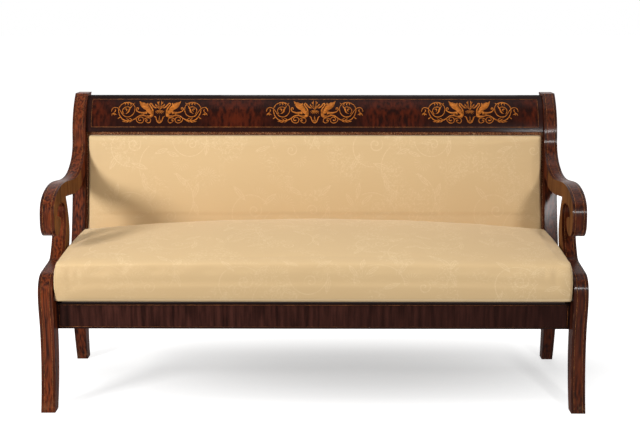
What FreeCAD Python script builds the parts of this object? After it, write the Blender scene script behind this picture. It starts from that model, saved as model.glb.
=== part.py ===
import FreeCAD, Part
import math
import os
import re
from types import SimpleNamespace

from FreeCAD import Vector

# A long sofa with scrolled arms: two sawn end frames joined by rails, an inlaid crest rail,
# a fixed upholstered back and a loose stuffed seat that lifts off its rails.
# Millimetres. X runs along the sofa, Y from front to back, Z up from the floor.
# Outlines are drawn with Y measured back from the toes of the front feet. Each piece is then placed
# so that the origin lies on the floor under the middle of the sofa.

SIZES = {
    # end frames
    "overall_length": 1720.0,
    "overall_height": 946.0,
    "frame_thickness": 45.0,
    "joint_clearance": 0.2,
    # seat rails
    "rail_underside": 253.0,
    "rail_height": 85.0,
    "rail_setback": 80.0,
    "rail_thickness": 30.0,
    "rail_tenon_length": 28.0,
    "tenon_thickness": 12.0,
    "tenon_shoulder": 12.0,
    "side_rail_thickness": 36.0,
    "side_tenon_length": 18.0,
    # front leg and knee
    "foot_depth": 42.0,
    "leg_setback": 38.0,
    "leg_depth": 54.0,
    "leg_block_depth": 48.0,
    "knee_setback": 31.0,
    "knee_belly_rise": 14.0,
    "knee_joint_depth": 56.0,
    "knee_rise": 99.0,
    # rear post
    "post_front": 486.0,
    "post_depth": 56.0,
    "rear_leg_splay": 40.0,
    "rear_foot_depth": 40.0,
    "rear_foot_width": 38.0,
    # back and crest
    "back_foot_rise": 62.0,
    "back_foot_lean": 14.0,
    "stile_front": 606.0,
    "stile_depth": 64.0,
    "back_hollow": 14.0,
    "crest_roll": 78.0,
    "crest_hollow": 14.0,
    "crest_height": 121.0,
    "crest_drop": 10.0,
    "crest_recess": 15.0,
    "crest_thickness": 47.0,
    "crest_tenon_inset": 12.0,
    "crest_tenon_length": 26.0,
    # arm and scroll
    "arm_height": 693.0,
    "arm_thickness": 50.0,
    "arm_dip": 12.0,
    "arm_valley": 440.0,
    "arm_joint": 515.0,
    "arm_joint_rise": 3.0,
    "arm_joint_height": 55.0,
    "arm_crest": 245.0,
    "sweep_rise": 97.0,
    "heel_drop": 20.0,
    "scroll_front": 102.0,
    "scroll_shoulder": 30.0,
    "scroll_eye_drop": 105.0,
    "scroll_radius": 46.0,
    "scroll_neck": 48.0,
    "scroll_tip_height": 11.0,
    # arm support
    "fork_setback": 205.0,
    "fork_drop": 57.0,
    "neck_rear": 275.0,
    "neck_drop": 48.0,
    "support_front": 251.0,
    "support_depth": 56.0,
    "support_sweep": 36.0,
    "support_foot": 236.0,
    # dowels and glue blocks
    "dowel_diameter": 8.0,
    "dowel_length": 44.0,
    "dowel_spacing": 18.0,
    "foot_dowel_spacing": 46.0,
    "block_leg": 62.0,
    "block_height": 48.0,
    "block_drop": 10.0,
    # cross rail under the seat
    "cross_rail_width": 42.0,
    "cross_rail_height": 55.0,
    "cross_rail_drop": 9.0,
    "cross_tenon_length": 14.0,
    # back frame
    "back_frame_recess": 29.0,
    "back_frame_thickness": 13.0,
    "lower_rail_height": 46.0,
    "upright_width": 56.0,
    "upright_spacing": 540.0,
    "upright_tenon": 14.0,
    "upright_tenon_thickness": 6.0,
    "back_strap_count": 4,
    "back_strap_width": 54.0,
    "back_strap_thickness": 2.0,
    # back upholstery
    "back_pad_thickness": 17.0,
    "back_pad_crown": 9.0,
    "back_pad_roll": 12.0,
    "back_pad_selvage": 1.0,
    "back_side_gap": 8.0,
    "back_top_gap": 12.0,
    "cover_thickness": 1.6,
    "braid_width": 7.4,
    "braid_head_width": 11.4,
    "braid_thickness": 2.6,
    "outside_cloth_thickness": 1.0,
    "soft_clearance": 0.3,
    # loose seat
    "seat_side_gap": 6.0,
    "seat_front": 33.0,
    "seat_front_lean": 6.0,
    "seat_front_bulge": 2.0,
    "seat_lower_round": 9.0,
    "seat_lip_rise": 15.0,
    "seat_overhang": 41.0,
    "seat_edge_rise": 138.0,
    "seat_edge_crown": 11.0,
    "seat_side_crown": 13.0,
    "seat_crown": 36.0,
    "seat_rear_rise": 14.0,
    "seat_rear_crown": 34.0,
    "seat_front_roll": 46.0,
    "seat_rear_roll": 40.0,
    "seat_end_roll": 20.0,
    "seat_back_gap": 6.0,
    "seat_frame_height": 44.0,
    "seat_frame_width": 50.0,
    "seat_frame_inset": 11.0,
    "seat_brace_spacing": 500.0,
    "seat_brace_width": 40.0,
    "seat_tenon_length": 25.0,
    "webbing_width": 50.0,
    "webbing_thickness": 1.4,
    "cross_strap_count": 9,
    "long_strap_count": 3,
    "hessian_thickness": 1.2,
}

os.makedirs("parts", exist_ok=True)
doc = FreeCAD.newDocument("Sofa")
sheet = doc.addObject("Spreadsheet::Sheet", "Sizes")
for row, (alias, value) in enumerate(SIZES.items(), start=1):
    sheet.set(f"A{row}", alias)
    sheet.set(f"B{row}", str(value))
    sheet.setAlias(f"B{row}", alias)
doc.recompute()
dim = SimpleNamespace(**{alias: float(sheet.get(alias)) for alias in SIZES})

# Expressions that several pieces share
INNER = "(overall_length / 2 - frame_thickness)"
DEPTH = "(stile_front + crest_roll + stile_depth)"
RAIL_TOP = "(rail_underside + rail_height)"
SIDES = (("left", -1), ("right", 1))

# The same sizes as numbers, for outlines drawn from points
inner = dim.overall_length / 2 - dim.frame_thickness
depth = dim.stile_front + dim.crest_roll + dim.stile_depth
rail_top = dim.rail_underside + dim.rail_height
knee_top = rail_top + dim.knee_rise
knee_joint = dim.knee_setback + dim.knee_joint_depth
leg_block = dim.rail_setback + dim.leg_block_depth
back_foot = rail_top + dim.back_foot_rise
crest_top = dim.overall_height - dim.crest_drop
crest_foot = crest_top - dim.crest_height
frame_centre = inner + dim.frame_thickness / 2
fit = dim.joint_clearance
UP = Vector(0, 1, 0)
BACK = Vector(1, 0, 0)
ARC_TOLERANCE = 0.1

nodes = []


def on_sheet(text):
    """An expression with each of its names written as a cell of the sheet."""
    return re.sub(r"[a-z_]+", lambda name: "Sizes." + name.group(0), text)


def keep(thing, label):
    """Names a finished piece and puts it on the list of pieces to write."""
    thing.Label = label
    nodes.append(thing)
    return thing


def block(name, corner, lengths):
    """A box from its low corner and its lengths, all expressions on the sheet."""
    box = doc.addObject("Part::Box", name)
    x, y, z = corner
    places = {"x": x, "y": f"{y} - {DEPTH} / 2", "z": z}
    for axis, text in places.items():
        box.setExpression("Placement.Base." + axis, on_sheet(text))
    for edge, text in zip(("Length", "Width", "Height"), lengths):
        box.setExpression(edge, on_sheet(text))
    return box


def fused(name, pieces):
    """Several solids as one."""
    whole = doc.addObject("Part::MultiFuse", name)
    whole.Shapes = pieces
    return whole


def cut(name, blank, tools):
    """A blank with each tool's form taken out of it."""
    result = doc.addObject("Part::Cut", name)
    result.Base = blank
    result.Tool = tools[0] if len(tools) == 1 else fused(name + "_tools", tools)
    return result


def formed(name, shape):
    """A piece whose shape is worked out in code, placed like the rest."""
    piece = doc.addObject("Part::Feature", name)
    piece.Shape = shape
    piece.Placement = FreeCAD.Placement(Vector(0, -depth / 2, 0), FreeCAD.Rotation())
    return piece


def origin_plane(body, role):
    """One of a body's own origin planes."""
    return next(plane for plane in body.Origin.OriginFeatures if plane.Role == role)


def add_pad(body, name, role, edges, length):
    """Pads a closed outline evenly to both sides of one of the body's origin planes."""
    sketch = body.newObject("Sketcher::SketchObject", name + "_outline")
    sketch.AttachmentSupport = [(origin_plane(body, role), "")]
    sketch.MapMode = "FlatFace"
    for edge in edges:
        sketch.addGeometry(edge, False)
    pad = body.newObject("PartDesign::Pad", name + "_pad")
    pad.Profile = sketch
    pad.SideType = "Symmetric"
    pad.setExpression("Length", on_sheet(length))
    return pad


def sawn_board(name, edges, length, centre="0"):
    """A board sawn to an outline in the YZ plane, its middle at X = centre."""
    body = doc.addObject("PartDesign::Body", name)
    add_pad(body, name, "YZ_Plane", edges, length)
    body.setExpression("Placement.Base.x", on_sheet(centre))
    body.setExpression("Placement.Base.y", on_sheet(f"-{DEPTH} / 2"))
    return body


# Outlines

def at(y, z):
    """A point of an outline in the YZ plane."""
    return Vector(y, z, 0)


def curve(points, start, end):
    """Arcs along a smooth curve through points, leaving and arriving in the given directions."""
    spline = Part.BSplineCurve()
    spline.interpolate(Points=points, InitialTangent=start, FinalTangent=end)
    return spline.toBiArcs(ARC_TOLERANCE)


def chain(points):
    """Straight edges from point to point."""
    return [Part.LineSegment(a, b) for a, b in zip(points, points[1:])]


def bowed(low, high, bow):
    """The circle through two points whose arc stands the given distance behind the line between them."""
    along = (high - low).normalize()
    middle = (low + high) * 0.5 + Vector(along.y, -along.x, 0) * bow
    return Part.Arc(low, middle, high).toShape().Curve


def flared(foot, top):
    """An arc from a foot to a point above it where the edge runs upright."""
    run = foot.x - top.x
    rise = top.y - foot.y
    radius = (run**2 + rise**2) / (2 * run)
    half_turn = math.asin(rise / radius) / 2
    middle = at(top.x + radius * (1 - math.cos(half_turn)), top.y - radius * math.sin(half_turn))
    return Part.Arc(foot, middle, top)


back_bow = bowed(
    at(dim.post_front + dim.back_foot_lean, back_foot), at(dim.stile_front, crest_foot), dim.back_hollow
)
crest_bow = bowed(
    at(dim.stile_front, crest_foot),
    at(dim.stile_front + dim.crest_roll, dim.overall_height),
    -dim.crest_hollow,
)


def on_circle(bow, z, side):
    """Where a circle stands at a height, behind or before its centre."""
    return bow.Center.x + side * math.sqrt(bow.Radius**2 - (z - bow.Center.y) ** 2)


def front_line(z):
    """The front of the rear posts at a height above the seat rails."""
    if z <= crest_foot:
        return on_circle(back_bow, z, 1)
    return on_circle(crest_bow, z, -1)


def along_back(z_from, z_to, shift=0.0):
    """Arcs of the posts' front line, moved back by shift, from one height to another."""
    stops = [z_from, z_to]
    if min(stops) < crest_foot < max(stops):
        stops.insert(1, crest_foot)
    places = []
    for low, high in zip(stops, stops[1:]):
        heights = (low, (low + high) / 2, high)
        places.append(Part.Arc(*[at(front_line(z) + shift, z) for z in heights]))
    return places


def back_slab(z_low, z_high, front, rear):
    """The outline of a piece between two lines that run parallel to the posts' front."""
    return (
        along_back(z_low, z_high, front)
        + chain([at(front_line(z_high) + front, z_high), at(front_line(z_high) + rear, z_high)])
        + along_back(z_high, z_low, rear)
        + chain([at(front_line(z_low) + rear, z_low), at(front_line(z_low) + front, z_low)])
    )


# Heights where the arm meets the post
joint_top = dim.arm_height + dim.arm_joint_rise
joint_foot = joint_top - dim.arm_joint_height
sweep_top = dim.arm_height + dim.sweep_rise
heel_foot = dim.arm_height - dim.heel_drop

# Directions in which the outlines pass their joints
arm_slope = at(1, 0.42)
stile_slope = at(0.15, 1)
heel_slope = at(-1, -0.8)
neck_slope = at(1, -0.1)
knee_slope = at(1, 0.12)
support_foot_slope = at(0.2, 1)
support_head_slope = at(-0.5, 1)


def rear_post_outline():
    """Sabre leg, upright block for the rails, raked post, heel for the arm and rolled-back stile."""
    foot_front = at(dim.post_front + dim.rear_leg_splay, 0)
    foot_rear = foot_front + BACK * dim.rear_foot_depth
    post_rear = dim.post_front + dim.post_depth
    low_front = at(dim.post_front, dim.rail_underside)
    high_front = at(dim.post_front, rail_top)
    low_rear = at(post_rear, dim.rail_underside)
    high_rear = at(post_rear, rail_top)
    lean_front = at(front_line(back_foot), back_foot)
    lean_rear = lean_front + BACK * dim.stile_depth
    lean_slope = Vector(front_line(back_foot + 1) - front_line(back_foot), 1, 0)
    heel = at(front_line(heel_foot), heel_foot)
    arm_low = at(dim.arm_joint, joint_foot)
    arm_high = at(dim.arm_joint, joint_top)
    sweep_end = at(front_line(sweep_top), sweep_top)
    top_front = at(front_line(dim.overall_height), dim.overall_height)
    top_rear = top_front + BACK * dim.stile_depth
    edges = [flared(foot_front, low_front), Part.LineSegment(low_front, high_front)]
    edges += curve([high_front, lean_front], UP, lean_slope)
    edges += along_back(back_foot, heel_foot)
    edges += curve([heel, arm_low], heel_slope, arm_slope * -1)
    edges.append(Part.LineSegment(arm_low, arm_high))
    edges += curve([arm_high, sweep_end], arm_slope, stile_slope)
    edges += along_back(sweep_top, dim.overall_height)
    edges.append(Part.LineSegment(top_front, top_rear))
    edges += along_back(dim.overall_height, back_foot, dim.stile_depth)
    edges += curve([lean_rear, high_rear], lean_slope * -1, UP * -1)
    edges.append(Part.LineSegment(high_rear, low_rear))
    edges.append(flared(foot_rear, low_rear))
    edges.append(Part.LineSegment(foot_rear, foot_front))
    return edges


# Corners that the arm and its support share
fork = at(dim.fork_setback, dim.arm_height - dim.fork_drop)
neck = at(dim.neck_rear, dim.arm_height - dim.neck_drop)

# Heights of the support's waist and forward sweep, as shares of its rise from the knee to the fork
WAIST_SHARE = 0.457
SWEEP_SHARE = 0.151


def arm_outline():
    """A band that dips from the post, rises, and curls over into a round eye with a cleft behind it."""
    eye_height = dim.arm_height - dim.scroll_eye_drop
    arm_high = at(dim.arm_joint, joint_top)
    arm_low = at(dim.arm_joint, joint_foot)
    valley = at(dim.arm_valley, dim.arm_height - dim.arm_dip)
    crest = at(dim.arm_crest, dim.arm_height)
    shoulder = at(dim.scroll_front + dim.scroll_shoulder, dim.arm_height - dim.scroll_shoulder)
    eye_front = at(dim.scroll_front, eye_height)
    eye_foot = at(dim.scroll_front + dim.scroll_radius, eye_height - dim.scroll_radius)
    eye_rear = at(dim.scroll_front + 2 * dim.scroll_radius, eye_height)
    cleft = at(dim.scroll_front + dim.scroll_neck, eye_height + dim.scroll_tip_height)
    tip = (cleft + eye_rear) * 0.5 + UP * (dim.scroll_tip_height / 2)
    underside = at(dim.arm_valley, dim.arm_height - dim.arm_dip - dim.arm_thickness)
    return (
        curve([arm_high, valley, crest, shoulder, eye_front], arm_slope * -1, UP * -1)
        + [Part.Arc(eye_front, eye_foot, eye_rear), Part.Arc(eye_rear, tip, cleft)]
        + curve([cleft, fork], UP, BACK)
        + [Part.LineSegment(fork, neck)]
        + curve([neck, underside, arm_low], neck_slope, arm_slope)
        + [Part.LineSegment(arm_low, arm_high)]
    )


def support_outline():
    """An S from the arm's neck down to the side rail, sweeping forward over the knee."""
    knee = at(knee_joint, knee_top)
    rise = fork.y - knee_top
    waist = at(dim.support_front, knee_top + rise * WAIST_SHARE)
    sweep = at(dim.support_front - dim.support_sweep, knee_top + rise * SWEEP_SHARE)
    waist_rear = waist + BACK * dim.support_depth
    foot_rear = at(dim.support_foot, rail_top)
    foot_front = at(knee_joint, rail_top)
    return (
        curve([fork, waist, sweep, knee], BACK, knee_slope * -1)
        + chain([knee, foot_front, foot_rear])
        + curve([foot_rear, waist_rear, neck], support_foot_slope, support_head_slope)
        + [Part.LineSegment(neck, fork)]
    )


def front_leg_outline():
    """A tapering sabre leg, a block at the height of the rails, and a rounded knee."""
    foot_front = at(0, 0)
    foot_rear = at(dim.foot_depth, 0)
    low_front = at(dim.leg_setback, dim.rail_underside)
    low_rear = at(dim.leg_setback + dim.leg_depth, dim.rail_underside)
    belly = at(dim.knee_setback, rail_top + dim.knee_belly_rise)
    knee = at(knee_joint, knee_top)
    step = [
        knee,
        at(knee_joint, rail_top),
        at(leg_block, rail_top),
        at(leg_block, dim.rail_underside),
        low_rear,
    ]
    return (
        [flared(foot_front, low_front)]
        + curve([low_front, belly], UP, UP)
        + curve([belly, knee], UP, knee_slope)
        + chain(step)
        + [flared(foot_rear, low_rear), Part.LineSegment(foot_rear, foot_front)]
    )


def crest_outline(inset):
    """The crest rail's section, or its tenon's, set in all round by inset."""
    front = dim.crest_recess + inset
    rear = dim.crest_recess + dim.crest_thickness - inset
    return back_slab(crest_foot + inset, crest_top - inset, front, rear)


# Straight rails with a tenon at each end, and the mortises that take them

def cross_member(name, y, z, thickness, height, tenon_length):
    """A rail from end frame to end frame with stub tenons, and the tool for its two mortises."""
    board = block(name + "_board", (f"-{INNER}", y, z), (f"2 * {INNER}", thickness, height))
    half_tenon = f"({INNER} + {tenon_length})"
    cheek = f"({thickness} - tenon_thickness) / 2"
    low = f"{z} + tenon_shoulder"
    tall = f"{height} - 2 * tenon_shoulder"
    tenon = block(
        name + "_tenons",
        (f"-{half_tenon}", f"{y} + {cheek}", low),
        (f"2 * {half_tenon}", "tenon_thickness", tall),
    )
    mortise = block(
        name + "_mortises",
        (
            f"-{half_tenon} - joint_clearance",
            f"{y} + {cheek} - joint_clearance",
            f"{low} - joint_clearance",
        ),
        (
            f"2 * ({half_tenon} + joint_clearance)",
            "tenon_thickness + 2 * joint_clearance",
            f"{tall} + 2 * joint_clearance",
        ),
    )
    return fused(name + "_joined", [board, tenon]), mortise


REAR_RAIL_FRONT = "(post_front + (post_depth - rail_thickness) / 2)"
front_rail, front_mortise = cross_member(
    "front_rail", "rail_setback", "rail_underside", "rail_thickness", "rail_height", "rail_tenon_length"
)
rear_rail, rear_mortise = cross_member(
    "rear_rail", REAR_RAIL_FRONT, "rail_underside", "rail_thickness", "rail_height", "rail_tenon_length"
)


def side_rail(side, sign):
    """A rail from the leg's block to the post, flush with the inside of the end frame, and its mortises."""
    start = "(rail_setback + leg_block_depth)"
    run = f"(post_front - {start})"
    left_face = INNER if sign > 0 else f"(-{INNER} - side_rail_thickness)"
    name = f"side_rail_{side}"
    board = block(
        name + "_board", (left_face, start, "rail_underside"), ("side_rail_thickness", run, "rail_height")
    )
    cheek = f"{left_face} + (side_rail_thickness - tenon_thickness) / 2"
    low = "rail_underside + tenon_shoulder"
    tall = "(rail_height - 2 * tenon_shoulder)"
    tenon = block(
        name + "_tenons",
        (cheek, f"{start} - side_tenon_length", low),
        ("tenon_thickness", f"{run} + 2 * side_tenon_length", tall),
    )
    mortise = block(
        name + "_mortises",
        (
            f"{cheek} - joint_clearance",
            f"{start} - side_tenon_length - joint_clearance",
            f"{low} - joint_clearance",
        ),
        (
            "tenon_thickness + 2 * joint_clearance",
            f"{run} + 2 * (side_tenon_length + joint_clearance)",
            f"{tall} + 2 * joint_clearance",
        ),
    )
    return fused(name + "_joined", [board, tenon]), mortise


# Dowels: pairs of round pins across each glued joint

def pins(places, direction, radius, length):
    """Round pins of one length, each centred on its place."""
    along = Vector(direction).normalize()
    return [Part.makeCylinder(radius, length, place - along * (length / 2), along) for place in places]


def arm_dowel_places(sign):
    """Two dowels along Y between each arm and its post."""
    middle = (joint_top + joint_foot) / 2
    offsets = (-dim.dowel_spacing / 2, dim.dowel_spacing / 2)
    return [Vector(sign * frame_centre, dim.arm_joint, middle + offset) for offset in offsets]


def neck_dowel_places(sign):
    """Two upright dowels between each arm and its support, nearer the support's rear edge."""
    rear = dim.neck_rear - dim.dowel_diameter
    height = (fork.y + neck.y) / 2
    return [Vector(sign * frame_centre, rear - step * dim.dowel_spacing, height) for step in (0, 1)]


def foot_dowel_places(sign):
    """Two upright dowels between each support and the side rail that carries it."""
    middle = (leg_block + dim.support_foot) / 2
    across = sign * (inner + dim.side_rail_thickness / 2)
    offsets = (-dim.foot_dowel_spacing / 2, dim.foot_dowel_spacing / 2)
    return [Vector(across, middle + offset, rail_top) for offset in offsets]


def knee_dowel_places(sign):
    """One dowel along Y between each support and its leg."""
    return [Vector(sign * frame_centre, knee_joint, (rail_top + knee_top) / 2)]


ALONG_Y = Vector(0, 1, 0)
ALONG_Z = Vector(0, 0, 1)
DOWEL_JOINTS = {
    "arm_dowels": [(arm_dowel_places, ALONG_Y)],
    "support_dowels": [
        (neck_dowel_places, ALONG_Z),
        (foot_dowel_places, ALONG_Z),
        (knee_dowel_places, ALONG_Y),
    ],
}


def dowel_set(joints, signs, radius, length):
    """The dowels of several joints as one group of solids."""
    solids = []
    for places, along in joints:
        for sign in signs:
            solids += pins(places(sign), along, radius, length)
    return Part.makeCompound(solids)


def dowel_holes(name, sign):
    """The holes of all the dowels of one end frame, a clearance larger than the dowels."""
    joints = [joint for row in DOWEL_JOINTS.values() for joint in row]
    radius = dim.dowel_diameter / 2 + fit / 2
    return formed(name, dowel_set(joints, (sign,), radius, dim.dowel_length + 2 * fit))


for label, joints in DOWEL_JOINTS.items():
    keep(formed(label, dowel_set(joints, (-1, 1), dim.dowel_diameter / 2, dim.dowel_length)), label)

# Glue blocks in the corners of the seat rails

def corner(sign, end):
    """A seat corner's inner edge: its X, its Y and the way towards the middle of the frame."""
    rear_rail_front = dim.post_front + (dim.post_depth - dim.rail_thickness) / 2
    y = dim.rail_setback + dim.rail_thickness if end == "front" else rear_rail_front
    return sign * inner, y, (1 if end == "front" else -1)


def corner_block(end, side, sign):
    """A three-sided block glued into a corner of the seat rails."""
    x, y, inward = corner(sign, end)
    points = [
        Vector(x, y, 0),
        Vector(x, y + inward * dim.block_leg, 0),
        Vector(x - sign * dim.block_leg, y, 0),
        Vector(x, y, 0),
    ]
    name = f"corner_block_{end}_{side}"
    body = doc.addObject("PartDesign::Body", name)
    add_pad(body, name, "XY_Plane", chain(points), "block_height")
    body.setExpression("Placement.Base.y", on_sheet(f"-{DEPTH} / 2"))
    body.setExpression("Placement.Base.z", on_sheet(f"{RAIL_TOP} - block_drop - block_height / 2"))
    return keep(body, name)


for end in ("front", "rear"):
    for side, sign in SIDES:
        corner_block(end, side, sign)

# Rail under the middle of the seat
CROSS_START = "(rail_setback + rail_thickness)"
CROSS_RUN = f"({REAR_RAIL_FRONT} - {CROSS_START})"
CROSS_FOOT = f"({RAIL_TOP} - cross_rail_drop - cross_rail_height)"
cross_board = block(
    "cross_rail_board",
    ("-cross_rail_width / 2", CROSS_START, CROSS_FOOT),
    ("cross_rail_width", CROSS_RUN, "cross_rail_height"),
)
cross_tenons = block(
    "cross_rail_tenons",
    ("-tenon_thickness / 2", f"{CROSS_START} - cross_tenon_length", f"{CROSS_FOOT} + tenon_shoulder"),
    ("tenon_thickness", f"{CROSS_RUN} + 2 * cross_tenon_length", "cross_rail_height - 2 * tenon_shoulder"),
)
cross_mortises = block(
    "cross_rail_mortises",
    (
        "-tenon_thickness / 2 - joint_clearance",
        f"{CROSS_START} - cross_tenon_length - joint_clearance",
        f"{CROSS_FOOT} + tenon_shoulder - joint_clearance",
    ),
    (
        "tenon_thickness + 2 * joint_clearance",
        f"{CROSS_RUN} + 2 * (cross_tenon_length + joint_clearance)",
        "cross_rail_height - 2 * tenon_shoulder + 2 * joint_clearance",
    ),
)
keep(fused("cross_rail", [cross_board, cross_tenons]), "cross_rail")
keep(cut("front_rail_cut", front_rail, [cross_mortises]), "front_rail")
keep(cut("rear_rail_cut", rear_rail, [cross_mortises]), "rear_rail")

# Crest rail and the frame of the back
crest_body = sawn_board("crest_rail_blank", crest_outline(0.0), f"2 * {INNER}")
add_pad(
    crest_body,
    "crest_tenons",
    "YZ_Plane",
    crest_outline(dim.crest_tenon_inset),
    f"2 * ({INNER} + crest_tenon_length)",
)
crest_mortises = sawn_board(
    "crest_mortises",
    crest_outline(dim.crest_tenon_inset - fit),
    f"2 * ({INNER} + crest_tenon_length + joint_clearance)",
)

panel_front = dim.back_frame_recess
panel_rear = dim.back_frame_recess + dim.back_frame_thickness
lower_rail_top = back_foot + dim.lower_rail_height
tongue_front = (panel_front + panel_rear - dim.upright_tenon_thickness) / 2
tongue_rear = tongue_front + dim.upright_tenon_thickness


def lower_rail_outline(inset):
    """The lower back rail's section, or its tenon's, set in by inset."""
    return back_slab(back_foot + inset, lower_rail_top - inset, panel_front + inset, panel_rear - inset)


def tongue_outline(extra):
    """A long tongue that gives an upright its tenons above and below; extra makes their mortises."""
    return back_slab(
        lower_rail_top - dim.upright_tenon - extra,
        crest_foot + dim.upright_tenon + extra,
        tongue_front - extra,
        tongue_rear + extra,
    )


LOWER_TENON_INSET = (dim.back_frame_thickness - dim.upright_tenon_thickness) / 2
lower_body = sawn_board("back_rail_lower_blank", lower_rail_outline(0.0), f"2 * {INNER}")
add_pad(
    lower_body,
    "lower_rail_tenons",
    "YZ_Plane",
    lower_rail_outline(LOWER_TENON_INSET),
    f"2 * ({INNER} + crest_tenon_length)",
)
lower_mortises = sawn_board(
    "lower_rail_mortises",
    lower_rail_outline(LOWER_TENON_INSET - fit),
    f"2 * ({INNER} + crest_tenon_length + joint_clearance)",
)

UPRIGHTS = {
    "outer_left": f"-({INNER} - upright_width / 2)",
    "inner_left": "-upright_spacing / 2",
    "inner_right": "upright_spacing / 2",
    "outer_right": f"({INNER} - upright_width / 2)",
}
tongue_mortises = []
for place, centre in UPRIGHTS.items():
    name = f"back_upright_{place}"
    outline = back_slab(lower_rail_top, crest_foot, panel_front, panel_rear)
    upright = sawn_board(name, outline, "upright_width", centre)
    tongue_width = "upright_width - 2 * tenon_shoulder"
    add_pad(upright, name + "_tongue", "YZ_Plane", tongue_outline(0.0), tongue_width)
    mortise_width = f"{tongue_width} + 2 * joint_clearance"
    tongue_mortises.append(sawn_board(name + "_mortises", tongue_outline(fit), mortise_width, centre))
    keep(upright, name)
keep(cut("crest_rail_cut", crest_body, tongue_mortises), "crest_rail")
keep(cut("back_rail_lower_cut", lower_body, tongue_mortises), "back_rail_lower")

# End frames
for side, sign in SIDES:
    middle = f"{sign} * (overall_length - frame_thickness) / 2"
    rail, side_mortises = side_rail(side, sign)
    holes = dowel_holes(f"dowel_holes_{side}", sign)

    post = sawn_board(f"rear_post_blank_{side}", rear_post_outline(), "frame_thickness", middle)
    inside = -sign * dim.frame_thickness / 2
    taper = sign * (dim.frame_thickness - dim.rear_foot_width)
    wedge = [
        Vector(inside, dim.rail_underside, 0),
        Vector(inside, 0, 0),
        Vector(inside + taper, 0, 0),
        Vector(inside, dim.rail_underside, 0),
    ]
    sketch = post.newObject("Sketcher::SketchObject", f"rear_leg_taper_{side}")
    sketch.AttachmentSupport = [(origin_plane(post, "XZ_Plane"), "")]
    sketch.MapMode = "FlatFace"
    for edge in chain(wedge):
        sketch.addGeometry(edge, False)
    pocket = post.newObject("PartDesign::Pocket", f"rear_leg_taper_cut_{side}")
    pocket.Profile = sketch
    pocket.Type = "ThroughAll"
    pocket.SideType = "Symmetric"
    post_tools = [rear_mortise, crest_mortises, lower_mortises, side_mortises, holes]
    keep(cut(f"rear_post_{side}_cut", post, post_tools), f"rear_post_{side}")

    leg = sawn_board(f"front_leg_blank_{side}", front_leg_outline(), "frame_thickness", middle)
    keep(cut(f"front_leg_{side}_cut", leg, [front_mortise, side_mortises, holes]), f"front_leg_{side}")
    arm = sawn_board(f"arm_blank_{side}", arm_outline(), "frame_thickness", middle)
    keep(cut(f"arm_{side}_cut", arm, [holes]), f"arm_{side}")
    support = sawn_board(f"arm_support_blank_{side}", support_outline(), "frame_thickness", middle)
    keep(cut(f"arm_support_{side}_cut", support, [holes]), f"arm_support_{side}")
    keep(cut(f"side_rail_{side}_cut", rail, [holes]), f"side_rail_{side}")

# Back upholstery
strap_front = dim.back_frame_recess - dim.back_strap_thickness
strap_count = round(dim.back_strap_count)
strap_step = (crest_foot - lower_rail_top) / strap_count
straps = []
for strap in range(strap_count):
    low = lower_rail_top + (strap + 0.5) * strap_step - dim.back_strap_width / 2
    outline = back_slab(low, low + dim.back_strap_width, strap_front, dim.back_frame_recess)
    straps.append(sawn_board(f"back_strap_{strap + 1}", outline, f"2 * ({INNER} - upright_tenon)"))
webbing = doc.addObject("Part::Compound", "back_webbing")
webbing.Links = straps
keep(webbing, "back_webbing")

pad_foot = back_foot + dim.soft_clearance
pad_head = crest_foot - dim.back_top_gap
pad_rear = strap_front - dim.soft_clearance
pad_half = inner - dim.back_side_gap
# Angles of the sections round a rolled end, and the places of those between, as shares of the half
ROLL_STEPS = (90, 45, 0)
BACK_SPREAD = (0.75, 0.4)
SEAT_SPREAD = (0.7, 0.4)
# How much of the back's edge falls away at its ends, and how much of the seat's fall draws its corners in
END_SHARE = 0.5
CORNER_SHARE = 0.3
# How far the middle of a quarter round stands from both of its faces, as a share of its radius
QUARTER_MID = 1 - math.sqrt(0.5)


def stations(half, roll, spread):
    """Places across X from end to end, close together where the ends roll over."""
    ends = [half - roll * (1 - math.sin(math.radians(angle))) for angle in ROLL_STEPS]
    right = ends + [share * (half - roll) for share in spread]
    return [-x for x in right] + [0.0] + right[::-1]


def end_drop(x, half, roll):
    """How far a rolled end has fallen away at X."""
    into_roll = max(0.0, roll - (half - abs(x)))
    return roll - math.sqrt(max(0.0, roll**2 - into_roll**2))


def ruled_loft(wires):
    """A closed solid with straight lines from section to section."""
    return Part.makeLoft(wires, True, True)


def back_section(x, inset, reach):
    """A section of the back's stuffing across X, set in by inset; reach is how far it goes back."""
    half = pad_half - inset
    crown = dim.back_pad_crown * (1 - (x / half) ** 2)
    fall = end_drop(x, half, dim.back_pad_roll)
    roll = dim.back_pad_roll
    edge = dim.back_pad_thickness - dim.back_pad_crown
    front = pad_rear - edge * (1 - END_SHARE * fall / roll) + inset
    low = pad_foot + inset + fall / 2
    high = pad_head - inset - fall / 2
    middle = (low + high) / 2

    def spot(z, shift):
        return Vector(x, front_line(z) + shift, z)

    front_low = spot(low + roll, front)
    front_high = spot(high - roll, front)
    belly = spot(middle, front - crown)
    shoulder = pad_rear - dim.back_pad_selvage
    bend = front + (shoulder - front) * QUARTER_MID
    side_low = spot(low, shoulder)
    side_high = spot(high, shoulder)
    rear_low = spot(low, reach)
    rear_high = spot(high, reach)
    edges = [
        Part.Arc(front_low, belly, front_high),
        Part.Arc(front_high, spot(high - roll * QUARTER_MID, bend), side_high),
        Part.LineSegment(side_high, rear_high),
        Part.Arc(rear_high, spot(middle, reach), rear_low),
        Part.LineSegment(rear_low, side_low),
        Part.Arc(side_low, spot(low + roll * QUARTER_MID, bend), front_low),
    ]
    return Part.Wire([edge.toShape() for edge in edges])


def back_form(inset, reach):
    """The back's stuffed form, set in by inset."""
    places = stations(pad_half - inset, dim.back_pad_roll, BACK_SPREAD)
    return ruled_loft([back_section(x, inset, reach) for x in places])


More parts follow.
